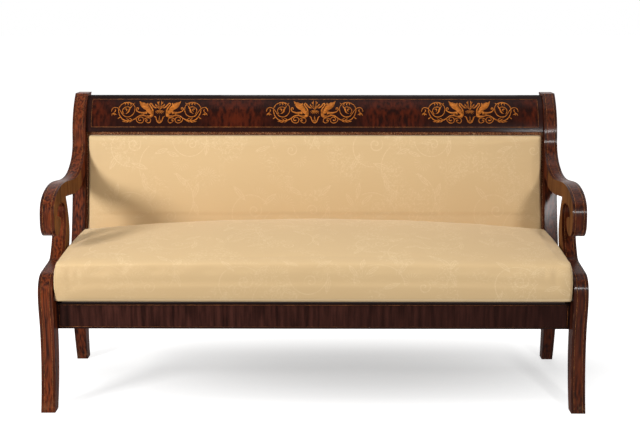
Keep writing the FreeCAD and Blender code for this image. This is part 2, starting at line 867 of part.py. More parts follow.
keep(formed("back_pad", back_form(dim.cover_thickness + dim.soft_clearance, pad_rear)), "back_pad")
back_skin = back_form(0.0, pad_rear).cut(back_form(dim.cover_thickness, pad_rear + dim.cover_thickness))
keep(formed("back_cover", back_skin), "back_cover")

braid_rear = dim.back_frame_recess - dim.soft_clearance
braid_front = braid_rear - dim.braid_thickness
braid_top = crest_foot - dim.soft_clearance
braid_foot = lower_rail_top
head_strip = sawn_board(
    "braid_head",
    back_slab(braid_top - dim.braid_head_width, braid_top, braid_front, braid_rear),
    f"2 * ({INNER} - soft_clearance)",
)
braid_strips = [head_strip]
for side, sign in SIDES:
    braid_strips.append(
        sawn_board(
            f"braid_{side}",
            back_slab(braid_foot, braid_top - dim.braid_head_width / 2, braid_front, braid_rear),
            "braid_width",
            f"{sign} * ({INNER} - soft_clearance - braid_width / 2)",
        )
    )
keep(fused("back_braid", braid_strips), "back_braid")

cloth_front = panel_rear + dim.soft_clearance
cloth_rear = cloth_front + dim.outside_cloth_thickness
outside_cloth = sawn_board(
    "outside_back_cloth",
    back_slab(back_foot, crest_foot - dim.soft_clearance, cloth_front, cloth_rear),
    f"2 * ({INNER} - soft_clearance)",
)
keep(outside_cloth, "outside_back_cloth")

# Loose seat: its frame, webbing, hessian, stuffing and cover
SEAT_FLOOR = f"({RAIL_TOP} + soft_clearance)"
FRAME_TOP = f"({SEAT_FLOOR} + seat_frame_height)"
seat_floor = rail_top + dim.soft_clearance
seat_half = inner - dim.seat_side_gap
seat_frame_top = seat_floor + dim.seat_frame_height
FRAME_FRONT = "(seat_front + seat_front_lean + seat_overhang)"
FRAME_REAR = "(post_front + back_foot_lean)"
FRAME_HALF = f"({INNER} - seat_side_gap - seat_frame_inset)"
FRAME_RUN = f"({FRAME_REAR} - {FRAME_FRONT})"
frame_front = dim.seat_front + dim.seat_front_lean + dim.seat_overhang
frame_rear = dim.post_front + dim.back_foot_lean
frame_half = seat_half - dim.seat_frame_inset


def seat_beam(name, y):
    """A long member of the seat frame."""
    return block(
        name,
        (f"-{FRAME_HALF}", y, SEAT_FLOOR),
        (f"2 * {FRAME_HALF}", "seat_frame_width", "seat_frame_height"),
    )


def seat_tie(name, left, width):
    """A short member from the front beam to the rear beam with a tenon at each end, and its mortises."""
    start = f"({FRAME_FRONT} + seat_frame_width)"
    run = f"({FRAME_RUN} - 2 * seat_frame_width)"
    board = block(name + "_board", (left, start, SEAT_FLOOR), (width, run, "seat_frame_height"))
    low = f"{SEAT_FLOOR} + tenon_shoulder"
    tall = "(seat_frame_height - 2 * tenon_shoulder)"
    tenon = block(
        name + "_tenons",
        (f"{left} + ({width} - tenon_thickness) / 2", f"{start} - seat_tenon_length", low),
        ("tenon_thickness", f"{run} + 2 * seat_tenon_length", tall),
    )
    mortise = block(
        name + "_mortises",
        (
            f"{left} + ({width} - tenon_thickness) / 2 - joint_clearance",
            f"{start} - seat_tenon_length - joint_clearance",
            f"{low} - joint_clearance",
        ),
        (
            "tenon_thickness + 2 * joint_clearance",
            f"{run} + 2 * (seat_tenon_length + joint_clearance)",
            f"{tall} + 2 * joint_clearance",
        ),
    )
    return keep(fused(name + "_joined", [board, tenon]), name), mortise


SEAT_TIES = {
    "seat_frame_left": (f"-{FRAME_HALF}", "seat_frame_width"),
    "seat_frame_right": (f"({FRAME_HALF} - seat_frame_width)", "seat_frame_width"),
    "seat_brace_left": ("-(seat_brace_spacing + seat_brace_width) / 2", "seat_brace_width"),
    "seat_brace_right": ("(seat_brace_spacing - seat_brace_width) / 2", "seat_brace_width"),
}
seat_mortises = [seat_tie(name, left, width)[1] for name, (left, width) in SEAT_TIES.items()]
front_beam = seat_beam("seat_frame_front_blank", FRAME_FRONT)
rear_beam = seat_beam("seat_frame_rear_blank", f"({FRAME_REAR} - seat_frame_width)")
keep(cut("seat_frame_front_cut", front_beam, seat_mortises), "seat_frame_front")
keep(cut("seat_frame_rear_cut", rear_beam, seat_mortises), "seat_frame_rear")

# Straps over the frame: the short ones against the wood, the long ones over them
short_straps = []
short_count = round(dim.cross_strap_count)
for strap in range(short_count):
    middle = f"{2 * strap + 1 - short_count} / {2 * short_count} * 2 * ({FRAME_HALF} - seat_frame_width)"
    short_straps.append(
        block(
            f"cross_strap_{strap + 1}",
            (f"{middle} - webbing_width / 2", FRAME_FRONT, FRAME_TOP),
            ("webbing_width", FRAME_RUN, "webbing_thickness"),
        )
    )
long_straps = []
long_count = round(dim.long_strap_count)
for strap in range(long_count):
    share = f"{2 * strap + 1} / {2 * long_count}"
    middle = f"{FRAME_FRONT} + seat_frame_width + {share} * ({FRAME_RUN} - 2 * seat_frame_width)"
    long_straps.append(
        block(
            f"long_strap_{strap + 1}",
            (f"-{FRAME_HALF}", f"{middle} - webbing_width / 2", f"{FRAME_TOP} + webbing_thickness"),
            (f"2 * {FRAME_HALF}", "webbing_width", "webbing_thickness"),
        )
    )
for label, straps in (("seat_webbing_cross", short_straps), ("seat_webbing_long", long_straps)):
    webbing = doc.addObject("Part::Compound", label)
    webbing.Links = straps
    keep(webbing, label)


# Hessian over the straps
hessian_foot = seat_frame_top + 2 * dim.webbing_thickness
hessian = block(
    "seat_hessian_sheet",
    (f"-{FRAME_HALF}", FRAME_FRONT, f"{FRAME_TOP} + 2 * webbing_thickness"),
    (f"2 * {FRAME_HALF}", FRAME_RUN, "hessian_thickness"),
)
keep(hessian, "seat_hessian")

# Stuffing and cover of the seat
seat_edge = rail_top + dim.seat_edge_rise

def seat_section(x, inset, floor):
    """A section of the seat across X, set in by inset, with its underside at floor."""
    half = seat_half - inset
    swell = 1 - (x / half) ** 2
    fall = end_drop(x, half, dim.seat_end_roll)
    pull = fall * CORNER_SHARE
    front = dim.seat_front + inset + pull
    lip = front + dim.seat_front_lean
    edge = seat_edge + dim.seat_edge_crown * swell - inset - fall
    crown = seat_edge + dim.seat_side_crown + dim.seat_crown * swell - inset - fall
    rear_edge = seat_edge + dim.seat_rear_rise + dim.seat_rear_crown * swell - inset - fall
    clear = pad_rear - dim.back_pad_thickness - dim.seat_back_gap - inset - pull
    rear_top = rear_edge - dim.seat_rear_roll
    rear_foot = floor + dim.seat_lower_round
    round_cut = dim.seat_lower_round * QUARTER_MID
    roll_cut = dim.seat_front_roll * QUARTER_MID
    rear_cut = dim.seat_rear_roll * QUARTER_MID

    def spot(y, z):
        return Vector(x, y, z)

    foot_front = spot(lip + dim.seat_lower_round, floor)
    lip_low = spot(lip, floor + dim.seat_lower_round)
    brow = spot(front, edge - dim.seat_front_roll)
    top_front = spot(front + dim.seat_front_roll, edge)
    top_rear = spot(front_line(rear_top) + clear - dim.seat_rear_roll, rear_edge)
    rear_high = spot(front_line(rear_top) + clear, rear_top)
    rear_low = spot(frame_rear + dim.seat_frame_inset - inset - pull, rear_foot)
    foot_rear = spot(rear_low.y - dim.seat_lower_round, floor)
    bulge = spot((lip + front) / 2 - dim.seat_front_bulge, (lip_low.z + brow.z) / 2)
    edges = [
        Part.Arc(foot_front, spot(lip + round_cut, floor + round_cut), lip_low),
        Part.Arc(lip_low, bulge, brow),
        Part.Arc(brow, spot(front + roll_cut, edge - roll_cut), top_front),
        Part.Arc(top_front, spot((top_front.y + top_rear.y) / 2, crown), top_rear),
        Part.Arc(top_rear, spot(rear_high.y - rear_cut, rear_edge - rear_cut), rear_high),
        Part.LineSegment(rear_high, rear_low),
        Part.Arc(rear_low, spot(rear_low.y - round_cut, floor + round_cut), foot_rear),
        Part.LineSegment(foot_rear, foot_front),
    ]
    return Part.Wire([edge.toShape() for edge in edges])


def seat_form(inset, floor):
    """The seat's crowned form, set in by inset."""
    places = stations(seat_half - inset, dim.seat_end_roll, SEAT_SPREAD)
    return ruled_loft([seat_section(x, inset, floor) for x in places])


# The stuffed edge hangs over the rails and ends above them, so a dark gap shows under it
lip_floor = seat_floor + dim.seat_lip_rise
cover_inside = dim.cover_thickness
seat_skin = seat_form(0.0, lip_floor).cut(seat_form(cover_inside, lip_floor - cover_inside))
keep(formed("seat_cover", seat_skin), "seat_cover")

gap = dim.soft_clearance
frame_room = Part.makeBox(
    2 * (frame_half + gap),
    frame_rear - frame_front + 2 * gap,
    hessian_foot + dim.hessian_thickness + gap,
    Vector(-frame_half - gap, frame_front - gap, 0),
)
stuffing = seat_form(cover_inside + gap, lip_floor + gap).cut(frame_room)
keep(formed("seat_pad", stuffing), "seat_pad")

doc.recompute()

# Every object has to be whole before anything is written
for thing in doc.Objects:
    if "Invalid" in thing.State or "Error" in thing.State:
        raise RuntimeError(f"{thing.Name} did not build: {thing.State}")
for node in nodes:
    if node.Shape.isNull() or not node.Shape.isValid() or not node.Shape.Solids:
        raise RuntimeError(f"{node.Label} has no sound solid")
for node in nodes:
    node.Shape.exportStep(f"parts/{node.Label}.step")
print(f"{len(nodes)} pieces written")
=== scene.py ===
# %% [markdown]
# A scroll-ended sofa in mahogany veneer, with a loose stuffed seat and a stuffed back.
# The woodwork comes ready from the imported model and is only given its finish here. What the joiner
# didn't make is added: inlaid lines and ornament, the cover cloth, braid, webbing and backing cloths.
# Everything is in metres. X runs along the sofa, Y goes from the front to the back, Z is up.

# %% Load the woodwork
import math
from functools import partialmethod
import bpy
import numpy as np
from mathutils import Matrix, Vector


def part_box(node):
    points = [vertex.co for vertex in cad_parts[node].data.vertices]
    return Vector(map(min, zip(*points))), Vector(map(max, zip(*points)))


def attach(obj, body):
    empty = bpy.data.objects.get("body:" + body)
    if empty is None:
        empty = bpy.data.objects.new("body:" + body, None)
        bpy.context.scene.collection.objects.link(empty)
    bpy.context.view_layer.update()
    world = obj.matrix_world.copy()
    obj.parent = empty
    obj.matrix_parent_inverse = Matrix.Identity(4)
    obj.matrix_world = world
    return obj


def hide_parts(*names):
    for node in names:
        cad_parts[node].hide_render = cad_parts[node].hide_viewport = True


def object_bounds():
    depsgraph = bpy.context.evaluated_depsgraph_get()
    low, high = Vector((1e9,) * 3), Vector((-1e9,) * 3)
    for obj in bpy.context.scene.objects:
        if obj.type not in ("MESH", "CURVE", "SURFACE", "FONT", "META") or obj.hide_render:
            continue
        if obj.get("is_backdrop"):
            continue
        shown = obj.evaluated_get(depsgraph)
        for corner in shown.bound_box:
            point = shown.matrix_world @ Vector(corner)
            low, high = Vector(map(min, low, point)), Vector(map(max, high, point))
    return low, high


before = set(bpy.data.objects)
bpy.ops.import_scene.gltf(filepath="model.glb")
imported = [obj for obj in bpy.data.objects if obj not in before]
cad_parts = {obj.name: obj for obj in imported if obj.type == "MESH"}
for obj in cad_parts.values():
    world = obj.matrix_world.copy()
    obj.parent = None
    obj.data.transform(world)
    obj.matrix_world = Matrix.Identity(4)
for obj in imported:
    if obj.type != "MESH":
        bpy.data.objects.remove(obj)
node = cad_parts
cad_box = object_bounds()
scene = bpy.context.scene
print(len(node), "nodes, from", [round(v, 3) for v in cad_box[0]], "to", [round(v, 3) for v in cad_box[1]])


# %% [markdown]
# Operators work on what is selected, so each step first selects only the pieces that it means.
# These small helpers do what the hand does in the window: pick a piece, go into edit mode with
# certain faces selected, add a modifier and apply it at once, and bring a new grid into place.

# %% Helpers for working with operators
def new_piece(name, data):
    piece = bpy.data.objects.new(name, data)
    scene.collection.objects.link(piece)
    return piece


def pick(*pieces):
    bpy.ops.object.select_all(action="DESELECT")
    for piece in pieces:
        piece.select_set(True)
    bpy.context.view_layer.objects.active = pieces[-1]


def edit(piece, wanted=None):
    """Goes into edit mode with the faces selected that wanted() accepts, or with all of them."""
    pick(piece)
    bpy.ops.object.mode_set(mode="EDIT")
    bpy.ops.mesh.select_mode(type="FACE")
    bpy.ops.mesh.select_all(action="DESELECT" if wanted else "SELECT")
    if wanted:
        bpy.ops.object.mode_set(mode="OBJECT")
        for face in piece.data.polygons:
            face.select = bool(wanted(face))
        bpy.ops.object.mode_set(mode="EDIT")


def leave_edit():
    bpy.ops.object.mode_set(mode="OBJECT")


def finish_with(piece, kind, **settings):
    pick(piece)
    modifier = piece.modifiers.new(kind.title(), kind)
    for name, value in settings.items():
        setattr(modifier, name, value)
    bpy.ops.object.modifier_apply(modifier=modifier.name)


def project_on(piece, target, towards):
    """Lays a piece on a node along Y: with 1 from the front, with -1 from behind."""
    finish_with(piece, "SHRINKWRAP", target=node[target], wrap_method="PROJECT", use_project_y=True,
                use_positive_direction=towards > 0, use_negative_direction=towards < 0)


def copy_of(name, new_name):
    """A new piece with a copy of a node's mesh, whose loose triangles are merged into one skin."""
    piece = new_piece(new_name, node[name].data.copy())
    piece.data.materials.clear()
    edit(piece)
    bpy.ops.mesh.remove_doubles(threshold=1e-5)
    leave_edit()
    return piece


def new_grid(name, columns, rows, size, place, upright=False):
    """A grid of the size given, moved to its place. It lies flat or is stood up along X."""
    bpy.ops.object.select_all(action="DESELECT")
    bpy.ops.mesh.primitive_grid_add(x_subdivisions=columns, y_subdivisions=rows, size=1)
    piece = bpy.context.object
    piece.name = name
    edit(piece)
    bpy.ops.transform.resize(value=(*size, 1), center_override=(0, 0, 0))
    if upright:
        bpy.ops.transform.rotate(value=math.radians(90), orient_axis="X", center_override=(0, 0, 0))
    bpy.ops.transform.translate(value=place)
    leave_edit()
    return piece


# %% [markdown]
# The camera stands 3.3 m in front of the toes and 0.37 m higher than the crest, and looks down by 11.6
# degrees. The place and the lens were worked out from the feet, the crest ends and the seat's corners.

# %% Camera
LENS = 62.45
STAND = (0.03814, -3.68493, 1.31432)
LOOK_DOWN = 11.596
LOOK_LEFT = 0.2767
camera_data = bpy.data.cameras.new("camera")
camera_data.sensor_width = 36
camera_data.lens = LENS
camera = new_piece("camera", camera_data)
camera.location = STAND
camera.rotation_euler = (math.radians(90 - LOOK_DOWN), 0, math.radians(LOOK_LEFT))
scene.camera = camera
print("camera at", [round(v, 2) for v in camera.location], "lens", camera_data.lens)


# %% [markdown]
# A finish is a tree of nodes. A Value is one output of a node, and signs of arithmetic between values
# place the Math nodes for them, so that a finish reads like a formula. put() places any other node, and
# give() sets a node's inputs, each to a number, a colour, a place or a value.

# %% Helpers for finishes
class Value:
    """One output of a node, to be reckoned with like a number."""

    def __init__(self, socket):
        self.socket = socket
        self.tree = socket.id_data

    def reckon(self, operation, *others):
        return calc(operation, self, *others)

    __add__ = partialmethod(reckon, "ADD")
    __sub__ = partialmethod(reckon, "SUBTRACT")
    __mul__ = partialmethod(reckon, "MULTIPLY")
    __truediv__ = partialmethod(reckon, "DIVIDE")
    __gt__ = partialmethod(reckon, "GREATER_THAN")
    __lt__ = partialmethod(reckon, "LESS_THAN")
    __abs__ = partialmethod(reckon, "ABSOLUTE")


def give(receiver, inputs):
    for name, value in inputs.items():
        if isinstance(value, Value):
            value.tree.links.new(value.socket, receiver.inputs[name])
        else:
            receiver.inputs[name].default_value = value


def put(tree, kind, inputs, **settings):
    """Places a node with its settings and inputs, and returns its outputs."""
    placed = tree.nodes.new("ShaderNode" + kind)
    for name, setting in settings.items():
        setattr(placed, name, setting)
    give(placed, inputs)
    return placed.outputs


def calc(operation, *values):
    tree = next(value.tree for value in values if isinstance(value, Value))
    return Value(put(tree, "Math", dict(enumerate(values)), operation=operation)[0])


def most(first, *others):
    """The largest of some values."""
    for other in others:
        first = calc("MAXIMUM", first, other)
    return first


def mix(share, low, high):
    """A colour between two others, each of them a value or three numbers."""
    low, high = (tone if isinstance(tone, Value) else (*tone, 1) for tone in (low, high))
    return Value(put(share.tree, "Mix", {0: share, 6: low, 7: high}, data_type="RGBA")[2])


def spread(value, low, high, to_low=0.0, to_high=1.0, smooth=False):
    inputs = {"Value": value, "From Min": low, "From Max": high, "To Min": to_low, "To Max": to_high}
    kind = "SMOOTHSTEP" if smooth else "LINEAR"
    return Value(put(value.tree, "MapRange", inputs, interpolation_type=kind)["Result"])


def near(value, centre, reach):
    """1 at the centre, falling to 0 at that distance from it."""
    return spread(abs(value - centre), 0.0, reach, 1.0, 0.0)


def noise(spot, scale, detail=3.0, rough=0.5, stretch=(1, 1, 1)):
    mapped = Value(put(spot.tree, "Mapping", {"Vector": spot, "Scale": stretch})["Vector"])
    inputs = {"Vector": mapped, "Scale": scale, "Detail": detail, "Roughness": rough}
    return Value(put(spot.tree, "TexNoise", inputs)["Fac"])


def parts_of(vector):
    return [Value(part) for part in put(vector.tree, "SeparateXYZ", {0: vector})]


def spot_at(x, y, z=0.0):
    return Value(put(x.tree, "CombineXYZ", {0: x, 1: y, 2: z})[0])


def turn_to(spot, centre, angle=0.0, size=(1, 1)):
    """The place as seen from a shape's own centre, turned to its angle and measured in its own size."""
    inputs = {"Vector": spot, "Location": (*centre, 0), "Scale": (*size, 1)}
    inputs["Rotation"] = (0, 0, math.radians(angle))
    return Value(put(spot.tree, "Mapping", inputs, vector_type="TEXTURE")["Vector"])


def length_of(vector):
    return Value(put(vector.tree, "VectorMath", {0: vector}, operation="LENGTH")["Value"])


def relief(height, strength, distance):
    inputs = {"Height": height, "Strength": strength, "Distance": distance}
    return Value(put(height.tree, "Bump", inputs)["Normal"])


def new_finish(name):
    """A material, its shader, and the place and the normal of the point that is shaded."""
    finish = bpy.data.materials.new(name)
    finish.use_nodes = True
    tree = finish.node_tree
    place = put(tree, "TexCoord", {})
    return finish, tree.nodes["Principled BSDF"], Value(place["Object"]), Value(place["Normal"])


# %% [markdown]
# The sofa stands on a plain white floor that runs out of sight, in soft studio light: a lamp low on the
# left, which throws the shadow of the arm on the back, large ones overhead and behind, a smaller one on
# the right that draws the glints on that end, and an even fill all round. The floor shines a little of
# its own towards the camera, so that it looks white around the shadows without more light falling on
# the sofa. It shines least below the middle of the seat, which paints a shadow on the floor there.

# %% Floor, surroundings and lamps
WHITE = (1, 1, 1, 1)
FLOOR_TONES = ((0.49, 0.49, 0.485), (0.51, 0.51, 0.51))
FLOOR_SIZE = 40
FLOOR_BACK = 8
SHADOW_PAINT_CENTRE = (0.15, 0.02 - FLOOR_BACK)
SHADOW_PAINT_OVAL = (1.0, 0.34)
FILL = 0.06
scene.view_settings.view_transform = "Standard"


def seen_rays(tree):
    """1 for rays that the camera, a reflection or clear glass sends out, otherwise 0."""
    path = put(tree, "LightPath", {})
    return most(*(Value(path[f"Is {kind} Ray"]) for kind in ("Camera", "Glossy", "Transmission")))


bpy.ops.object.select_all(action="DESELECT")
bpy.ops.mesh.primitive_plane_add(size=FLOOR_SIZE, location=(0, FLOOR_BACK, 0))
floor = bpy.context.object
floor.name = "floor"
floor_finish, shader, spot, _ = new_finish("white_floor")
# The glow is least in an oval below the middle of the seat, which paints a shadow on the floor there.
glow = spread(length_of(turn_to(spot, SHADOW_PAINT_CENTRE, size=SHADOW_PAINT_OVAL)), 0.1, 1.7, 0.37, 1.0, smooth=True)
give(shader, {
    "Base Color": mix(noise(spot, 3.0), *FLOOR_TONES), "Roughness": 0.9, "Specular IOR Level": 0.1,
    "Emission Color": WHITE, "Emission Strength": seen_rays(spot.tree) * glow,
})
floor.data.materials.append(floor_finish)
floor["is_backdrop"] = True

world = bpy.data.worlds.new("studio")
scene.world = world
world.use_nodes = True
level = spread(seen_rays(world.node_tree), 0.0, 1.0, FILL, 1.0)
give(world.node_tree.nodes["Background"], {"Color": WHITE, "Strength": level})


def lamp(name, location, target, size, power):
    data = bpy.data.lights.new(name, "AREA")
    data.size = size
    data.energy = power
    made = new_piece(name, data)
    made.location = location
    made.rotation_euler = (Vector(target) - made.location).to_track_quat("-Z", "Y").to_euler()


lamp("key", (-2.47, -2.11, 1.6), (0, 0, 0.55), size=0.7, power=79)
lamp("top", (0.2, 0.1, 3.9), (0.2, 0.1, 0), size=3.0, power=66)
lamp("rear", (0.3, 3.6, 1.9), (0, 0.3, 0.6), size=2.0, power=40)
lamp("glint", (1.42, -3.0, 1.7), (0.4, 0, 0.5), size=0.29, power=37)
print("floor, surroundings and four lamps")

# %% [markdown]
# The show wood is mahogany veneer under a thin old polish: a dark red brown with streaks along the
# grain, broad darker clouds, fine open pores, and a darker border outside the inlaid lines. Streaks come
# from a noise that is squeezed across the grain. The left end is a little lighter than the right one.
# The sawn inner and outer sides of the arms have faded to a tan brown, and part of that tan is a painted
# reflection of the cream back, so those faces, which look along X, get tones of their own. All faces
# that look along X have less gloss. Sharp corners and feet are rubbed paler, which a painted map could
# do too, but here it follows from the place on the piece.

# %% Mahogany and softwood finishes
RED = ((0.014, 0.0030, 0.0017), (0.18, 0.036, 0.0100))
TAN = ((0.07, 0.024, 0.0065), (0.24, 0.088, 0.023))
RUBBED = (0.26, 0.12, 0.055)
BARE = ((0.23, 0.13, 0.06), (0.47, 0.32, 0.17))
BARE_PORE = (0.15, 0.08, 0.04)
TONE_REACH = 0.85
FIELD_INSIDE = (0.823, 0.825)
FIELD_OUTSIDE = (0.8515, 0.8495)
CORNERS = (0.8152, 0.8598)
CORNER_WEAR = 0.0022
TOE_WEAR = 0.05


def along(axis, fine, coarse):
    return tuple(coarse if letter == axis else fine for letter in "XYZ")


def figure_of(spot, axis, fine=150, coarse=2.2):
    """How light the wood is at a spot, from 0 to 1, and how open its pores are."""
    streak = noise(spot, 1.0, 4.0, 0.5, along(axis, fine, coarse))
    cloud = noise(spot, 7.0, 2.0)
    pores = noise(spot, 1.0, 2.0, 0.5, along(axis, 1300, 45))
    return spread(streak * 0.75 + cloud * 0.25, 0.38, 0.63), spread(pores, 0.58, 0.72)


def polish(shader, share, pores, colour, rough, dull=0.0):
    """The surface over the colour: a fine relief of pores and streaks, and an uneven gloss."""
    give(shader, {
        "Base Color": colour, "Normal": relief(share * 0.3 - pores, 0.25, 0.0002),
        "Roughness": most(spread(share, 0.0, 1.0, rough + 0.08, rough), dull),
    })


def mahogany(name, axis, side_tones=None):
    finish, shader, spot, normal = new_finish(name)
    share, pores = figure_of(spot, axis)
    x, _, z = parts_of(spot)
    share = share * spread(x, -TONE_REACH, TONE_REACH, 1.08, 0.55)
    colour = mix(share, *RED)
    across = abs(x)
    sideways = abs(parts_of(normal)[0])
    # The tan side tones are partly the wood's own and partly a painted reflection of the cream back.
    if side_tones:
        colour = mix(spread(sideways, 0.5, 0.7), colour, mix(share, *side_tones))
    colour = mix(pores * 0.2, colour, RED[0])
    if axis == "Z":
        field = spread(across, *FIELD_INSIDE) * spread(across, *FIELD_OUTSIDE)
        border = calc("SUBTRACT", 1.0, field) * spread(sideways, 0.3, 0.6, 0.5, 0.0)
        colour = mix(border, colour, RED[0])
    corner = most(*(near(across, place, CORNER_WEAR) for place in CORNERS))
    corner = corner * spread(sideways, 0.8, 0.95, 1.0, 0.0)
    toe = spread(z, 0.0, TOE_WEAR, 0.8, 0.0)
    worn = most(corner, toe) * spread(noise(spot, 45.0, 4.0, 0.65), 0.5, 0.68)
    colour = mix(worn * 0.6, colour, RUBBED)
    polish(shader, share, pores, colour, 0.3, spread(sideways, 0.8, 0.95, 0.0, 0.85))
    give(shader, {"Specular IOR Level": 0.05, "Coat Weight": 0.07, "Coat Roughness": 0.13})
    return finish


def softwood(name, axis, painted_shade_to=None):
    """Bare planed wood; what lies in front of the given depth along Y is painted dark as painted shade."""
    finish, shader, spot, _ = new_finish(name)
    share, pores = figure_of(spot, axis, 90, 4)
    colour = mix(pores * 0.3, mix(share, *BARE), BARE_PORE)
    if painted_shade_to:
        colour = mix((parts_of(spot)[1] < painted_shade_to) * 0.97, colour, RED[0])
    polish(shader, share, pores, colour, 0.6)
    return finish


# %% [markdown]
# The CAD nodes keep their shape. A weld joins their loose triangles, a bevel of 0.6 mm takes the knife
# edge off every corner as sandpaper does, and weighted normals keep the flat faces flat.

# %% Finish the woodwork
ROUND_OFF = 0.0006
PAINTED_SHADE_REACH = 0.002


def dress(finish, *names):
    for name in names:
        piece = node[name]
        piece.data.materials.clear()
        piece.data.materials.append(finish)
        pick(piece)
        bpy.ops.object.shade_smooth()
        piece.modifiers.new("Weld", "WELD").merge_threshold = 1e-5
        rounded = piece.modifiers.new("Bevel", "BEVEL")
        rounded.width = ROUND_OFF
        rounded.segments = 2
        rounded.angle_limit = math.radians(38)
        piece.modifiers.new("WeightedNormal", "WEIGHTED_NORMAL").keep_sharp = True


upright_wood = mahogany("mahogany_upright", "Z")
arm_wood = mahogany("mahogany_arm", "Z", TAN)
deep_wood = mahogany("mahogany_deep", "Y")
for side in ("left", "right"):
    dress(upright_wood, f"rear_post_{side}", f"front_leg_{side}")
    dress(arm_wood, f"arm_{side}", f"arm_support_{side}")
    dress(deep_wood, f"side_rail_{side}")
    back_wood = softwood(f"softwood_upright_{side}", "Z")
    dress(back_wood, f"back_upright_outer_{side}", f"back_upright_inner_{side}")
    dress(softwood(f"softwood_deep_{side}", "Y"), f"seat_frame_{side}", f"seat_brace_{side}")
    block_wood = softwood(f"softwood_block_{side}", "Z")
    dress(block_wood, f"corner_block_front_{side}", f"corner_block_rear_{side}")
dress(mahogany("mahogany_long", "X"), "rear_rail")
dress(softwood("softwood_long", "X"), "back_rail_lower", "seat_frame_rear")
# The front face of the seat frame is painted dark as painted shade under the seat's overhang.
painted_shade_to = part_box("seat_frame_front")[0].y + PAINTED_SHADE_REACH
dress(softwood("softwood_painted_shade", "X", painted_shade_to), "seat_frame_front")
dress(softwood("softwood_cross", "Y"), "cross_rail", "arm_dowels", "support_dowels")
print("wood finish on", sum(len(piece.modifiers) > 0 for piece in node.values()), "nodes")

# %% [markdown]
# The crest and the front rail are faced with figured veneer. Three leaves of one flitch meet at two
# joints, each opened like a book, so that the figure mirrors there: PINGPONG folds the X coordinate at
# the joints. On the crest the ground is darkest where the ornament sits and flames red towards the
# joints. The rail is plainer and darkens towards the right. A dark band borders the panel outside the
# inlaid line, and the faces that look upward, along the top edge, are painted nearly black as painted shade.

# %% Figured veneers
JOINT = 0.28
LEAF = 0.56
SEAM = 0.0008
FLAME = (0.085, 0.0135, 0.0045)
BAND = (0.016, 0.0062, 0.0052)
TOP_PAINTED_SHADE = (0.002, 0.0006, 0.0005)
CREST_LINE = (0.831, 0.926, 0.797)
RAIL_LINE = (0.259, 0.332, 0.808)


def figured_veneer(name, lowest, highest, end, red_reach, ground, fade):
    """Veneer inside a rectangle of inlaid line that runs from lowest to highest and to both ends."""
    finish, shader, spot, normal = new_finish(name)
    x, y, z = parts_of(spot)
    leaf = calc("PINGPONG", x - JOINT, LEAF)
    spot = spot_at(leaf, y, z)
    share, pores = figure_of(spot, "Z", 75, 7)
    flicker = noise(spot, 1.0, 4.0, 0.6, (26, 26, 9))
    from_middle = flicker * 0.16 + abs(leaf - LEAF / 2)
    flaming = spread(from_middle, *red_reach, smooth=True)
    colour = mix(share, RED[0], mix(flaming, ground, FLAME))
    colour = mix(spread(flicker, 0.5, 0.75, 0.0, 0.6), colour, RED[0])
    colour = mix(spread(x, -0.4, 0.8, 0.0, fade), colour, RED[0])
    outside = most(abs(x) > end, z > highest, z < lowest)
    colour = mix(outside * 0.8, colour, BAND)
    seam = most(near(leaf, 0.0, SEAM), near(leaf, LEAF, SEAM))
    colour = mix(seam * 0.8, colour, RED[0])
    # Faces that look upward are painted nearly black as painted shade.
    upward = spread(parts_of(normal)[2], 0.62, 0.8)
    colour = mix(upward, colour, TOP_PAINTED_SHADE)
    polish(shader, share, pores, colour, 0.27, upward)
    give(shader, {"Specular IOR Level": 0.03, "Coat Weight": 0.03, "Coat Roughness": 0.12})
    return finish


crest_veneer = figured_veneer(
    "crest_veneer", *CREST_LINE, red_reach=(0.20, 0.31), ground=(0.021, 0.0055, 0.0038), fade=0.0
)
dress(crest_veneer, "crest_rail")
rail_veneer = figured_veneer(
    "rail_veneer", *RAIL_LINE, red_reach=(0.33, 0.52), ground=(0.062, 0.0185, 0.0125), fade=0.6
)
dress(rail_veneer, "front_rail")
print("veneer leaves meet at", -JOINT, "and", JOINT)

# %% [markdown]
# Thin light lines of boxwood are let into the veneer: two along the front of each end frame, from the
# top of the stile over the arm and down the leg, and a rectangle on the crest and on the front rail.
# The real ones are sawn strips pressed into a scratched groove. Here a copy of the wooden piece is cut
# down with bisect planes to the strip that the line covers, so that it follows every curve of the face.

# %% Boxwood lines
LINE = 0.0013
LINE_THICKNESS = 0.0007
LINES_ACROSS = (0.8235, 0.8499)
LINE_TONES = ((0.13, 0.042, 0.015), (0.42, 0.155, 0.045))
ARM_FRONT = -0.226
ARM_TOP = 0.64
STILE_FOOT = 0.69


def boxwood(name, dark, light):
    finish, shader, spot, _ = new_finish(name)
    share, pores = figure_of(spot, "X", 260, 90)
    grime = spread(noise(spot, 38.0, 4.0, 0.6), 0.35, 0.7)
    colour = mix(grime * 0.5, mix(share, light, dark), dark)
    polish(shader, share, pores, colour, 0.32)
    give(shader, {"Specular IOR Level": 0.06})
    return finish


def inlaid_line(source, cuts, wanted):
    """The strip of a node's skin between planes, as a sliver of wood set half into the face."""
    piece = copy_of(source, "line")
    for axis, low, high in cuts:
        normal = Vector((axis == "X", axis == "Y", axis == "Z"))
        for at, upper in ((low, False), (high, True)):
            edit(piece)
            plane = {"plane_co": normal * at, "plane_no": normal}
            bpy.ops.mesh.bisect(**plane, clear_outer=upper, clear_inner=not upper)
            leave_edit()
    edit(piece, lambda face: not wanted(face.normal, face.center))
    bpy.ops.mesh.delete(type="FACE")
    leave_edit()
    finish_with(piece, "SOLIDIFY", thickness=LINE_THICKNESS, offset=0)
    return piece


def joined(name, pieces, finish, body):
    pick(*pieces)
    bpy.ops.object.join()
    made = bpy.context.object
    made.name = name
    made.data.materials.clear()
    made.data.materials.append(finish)
    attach(made, body)
    print(name, len(made.data.polygons), "faces")
    return made


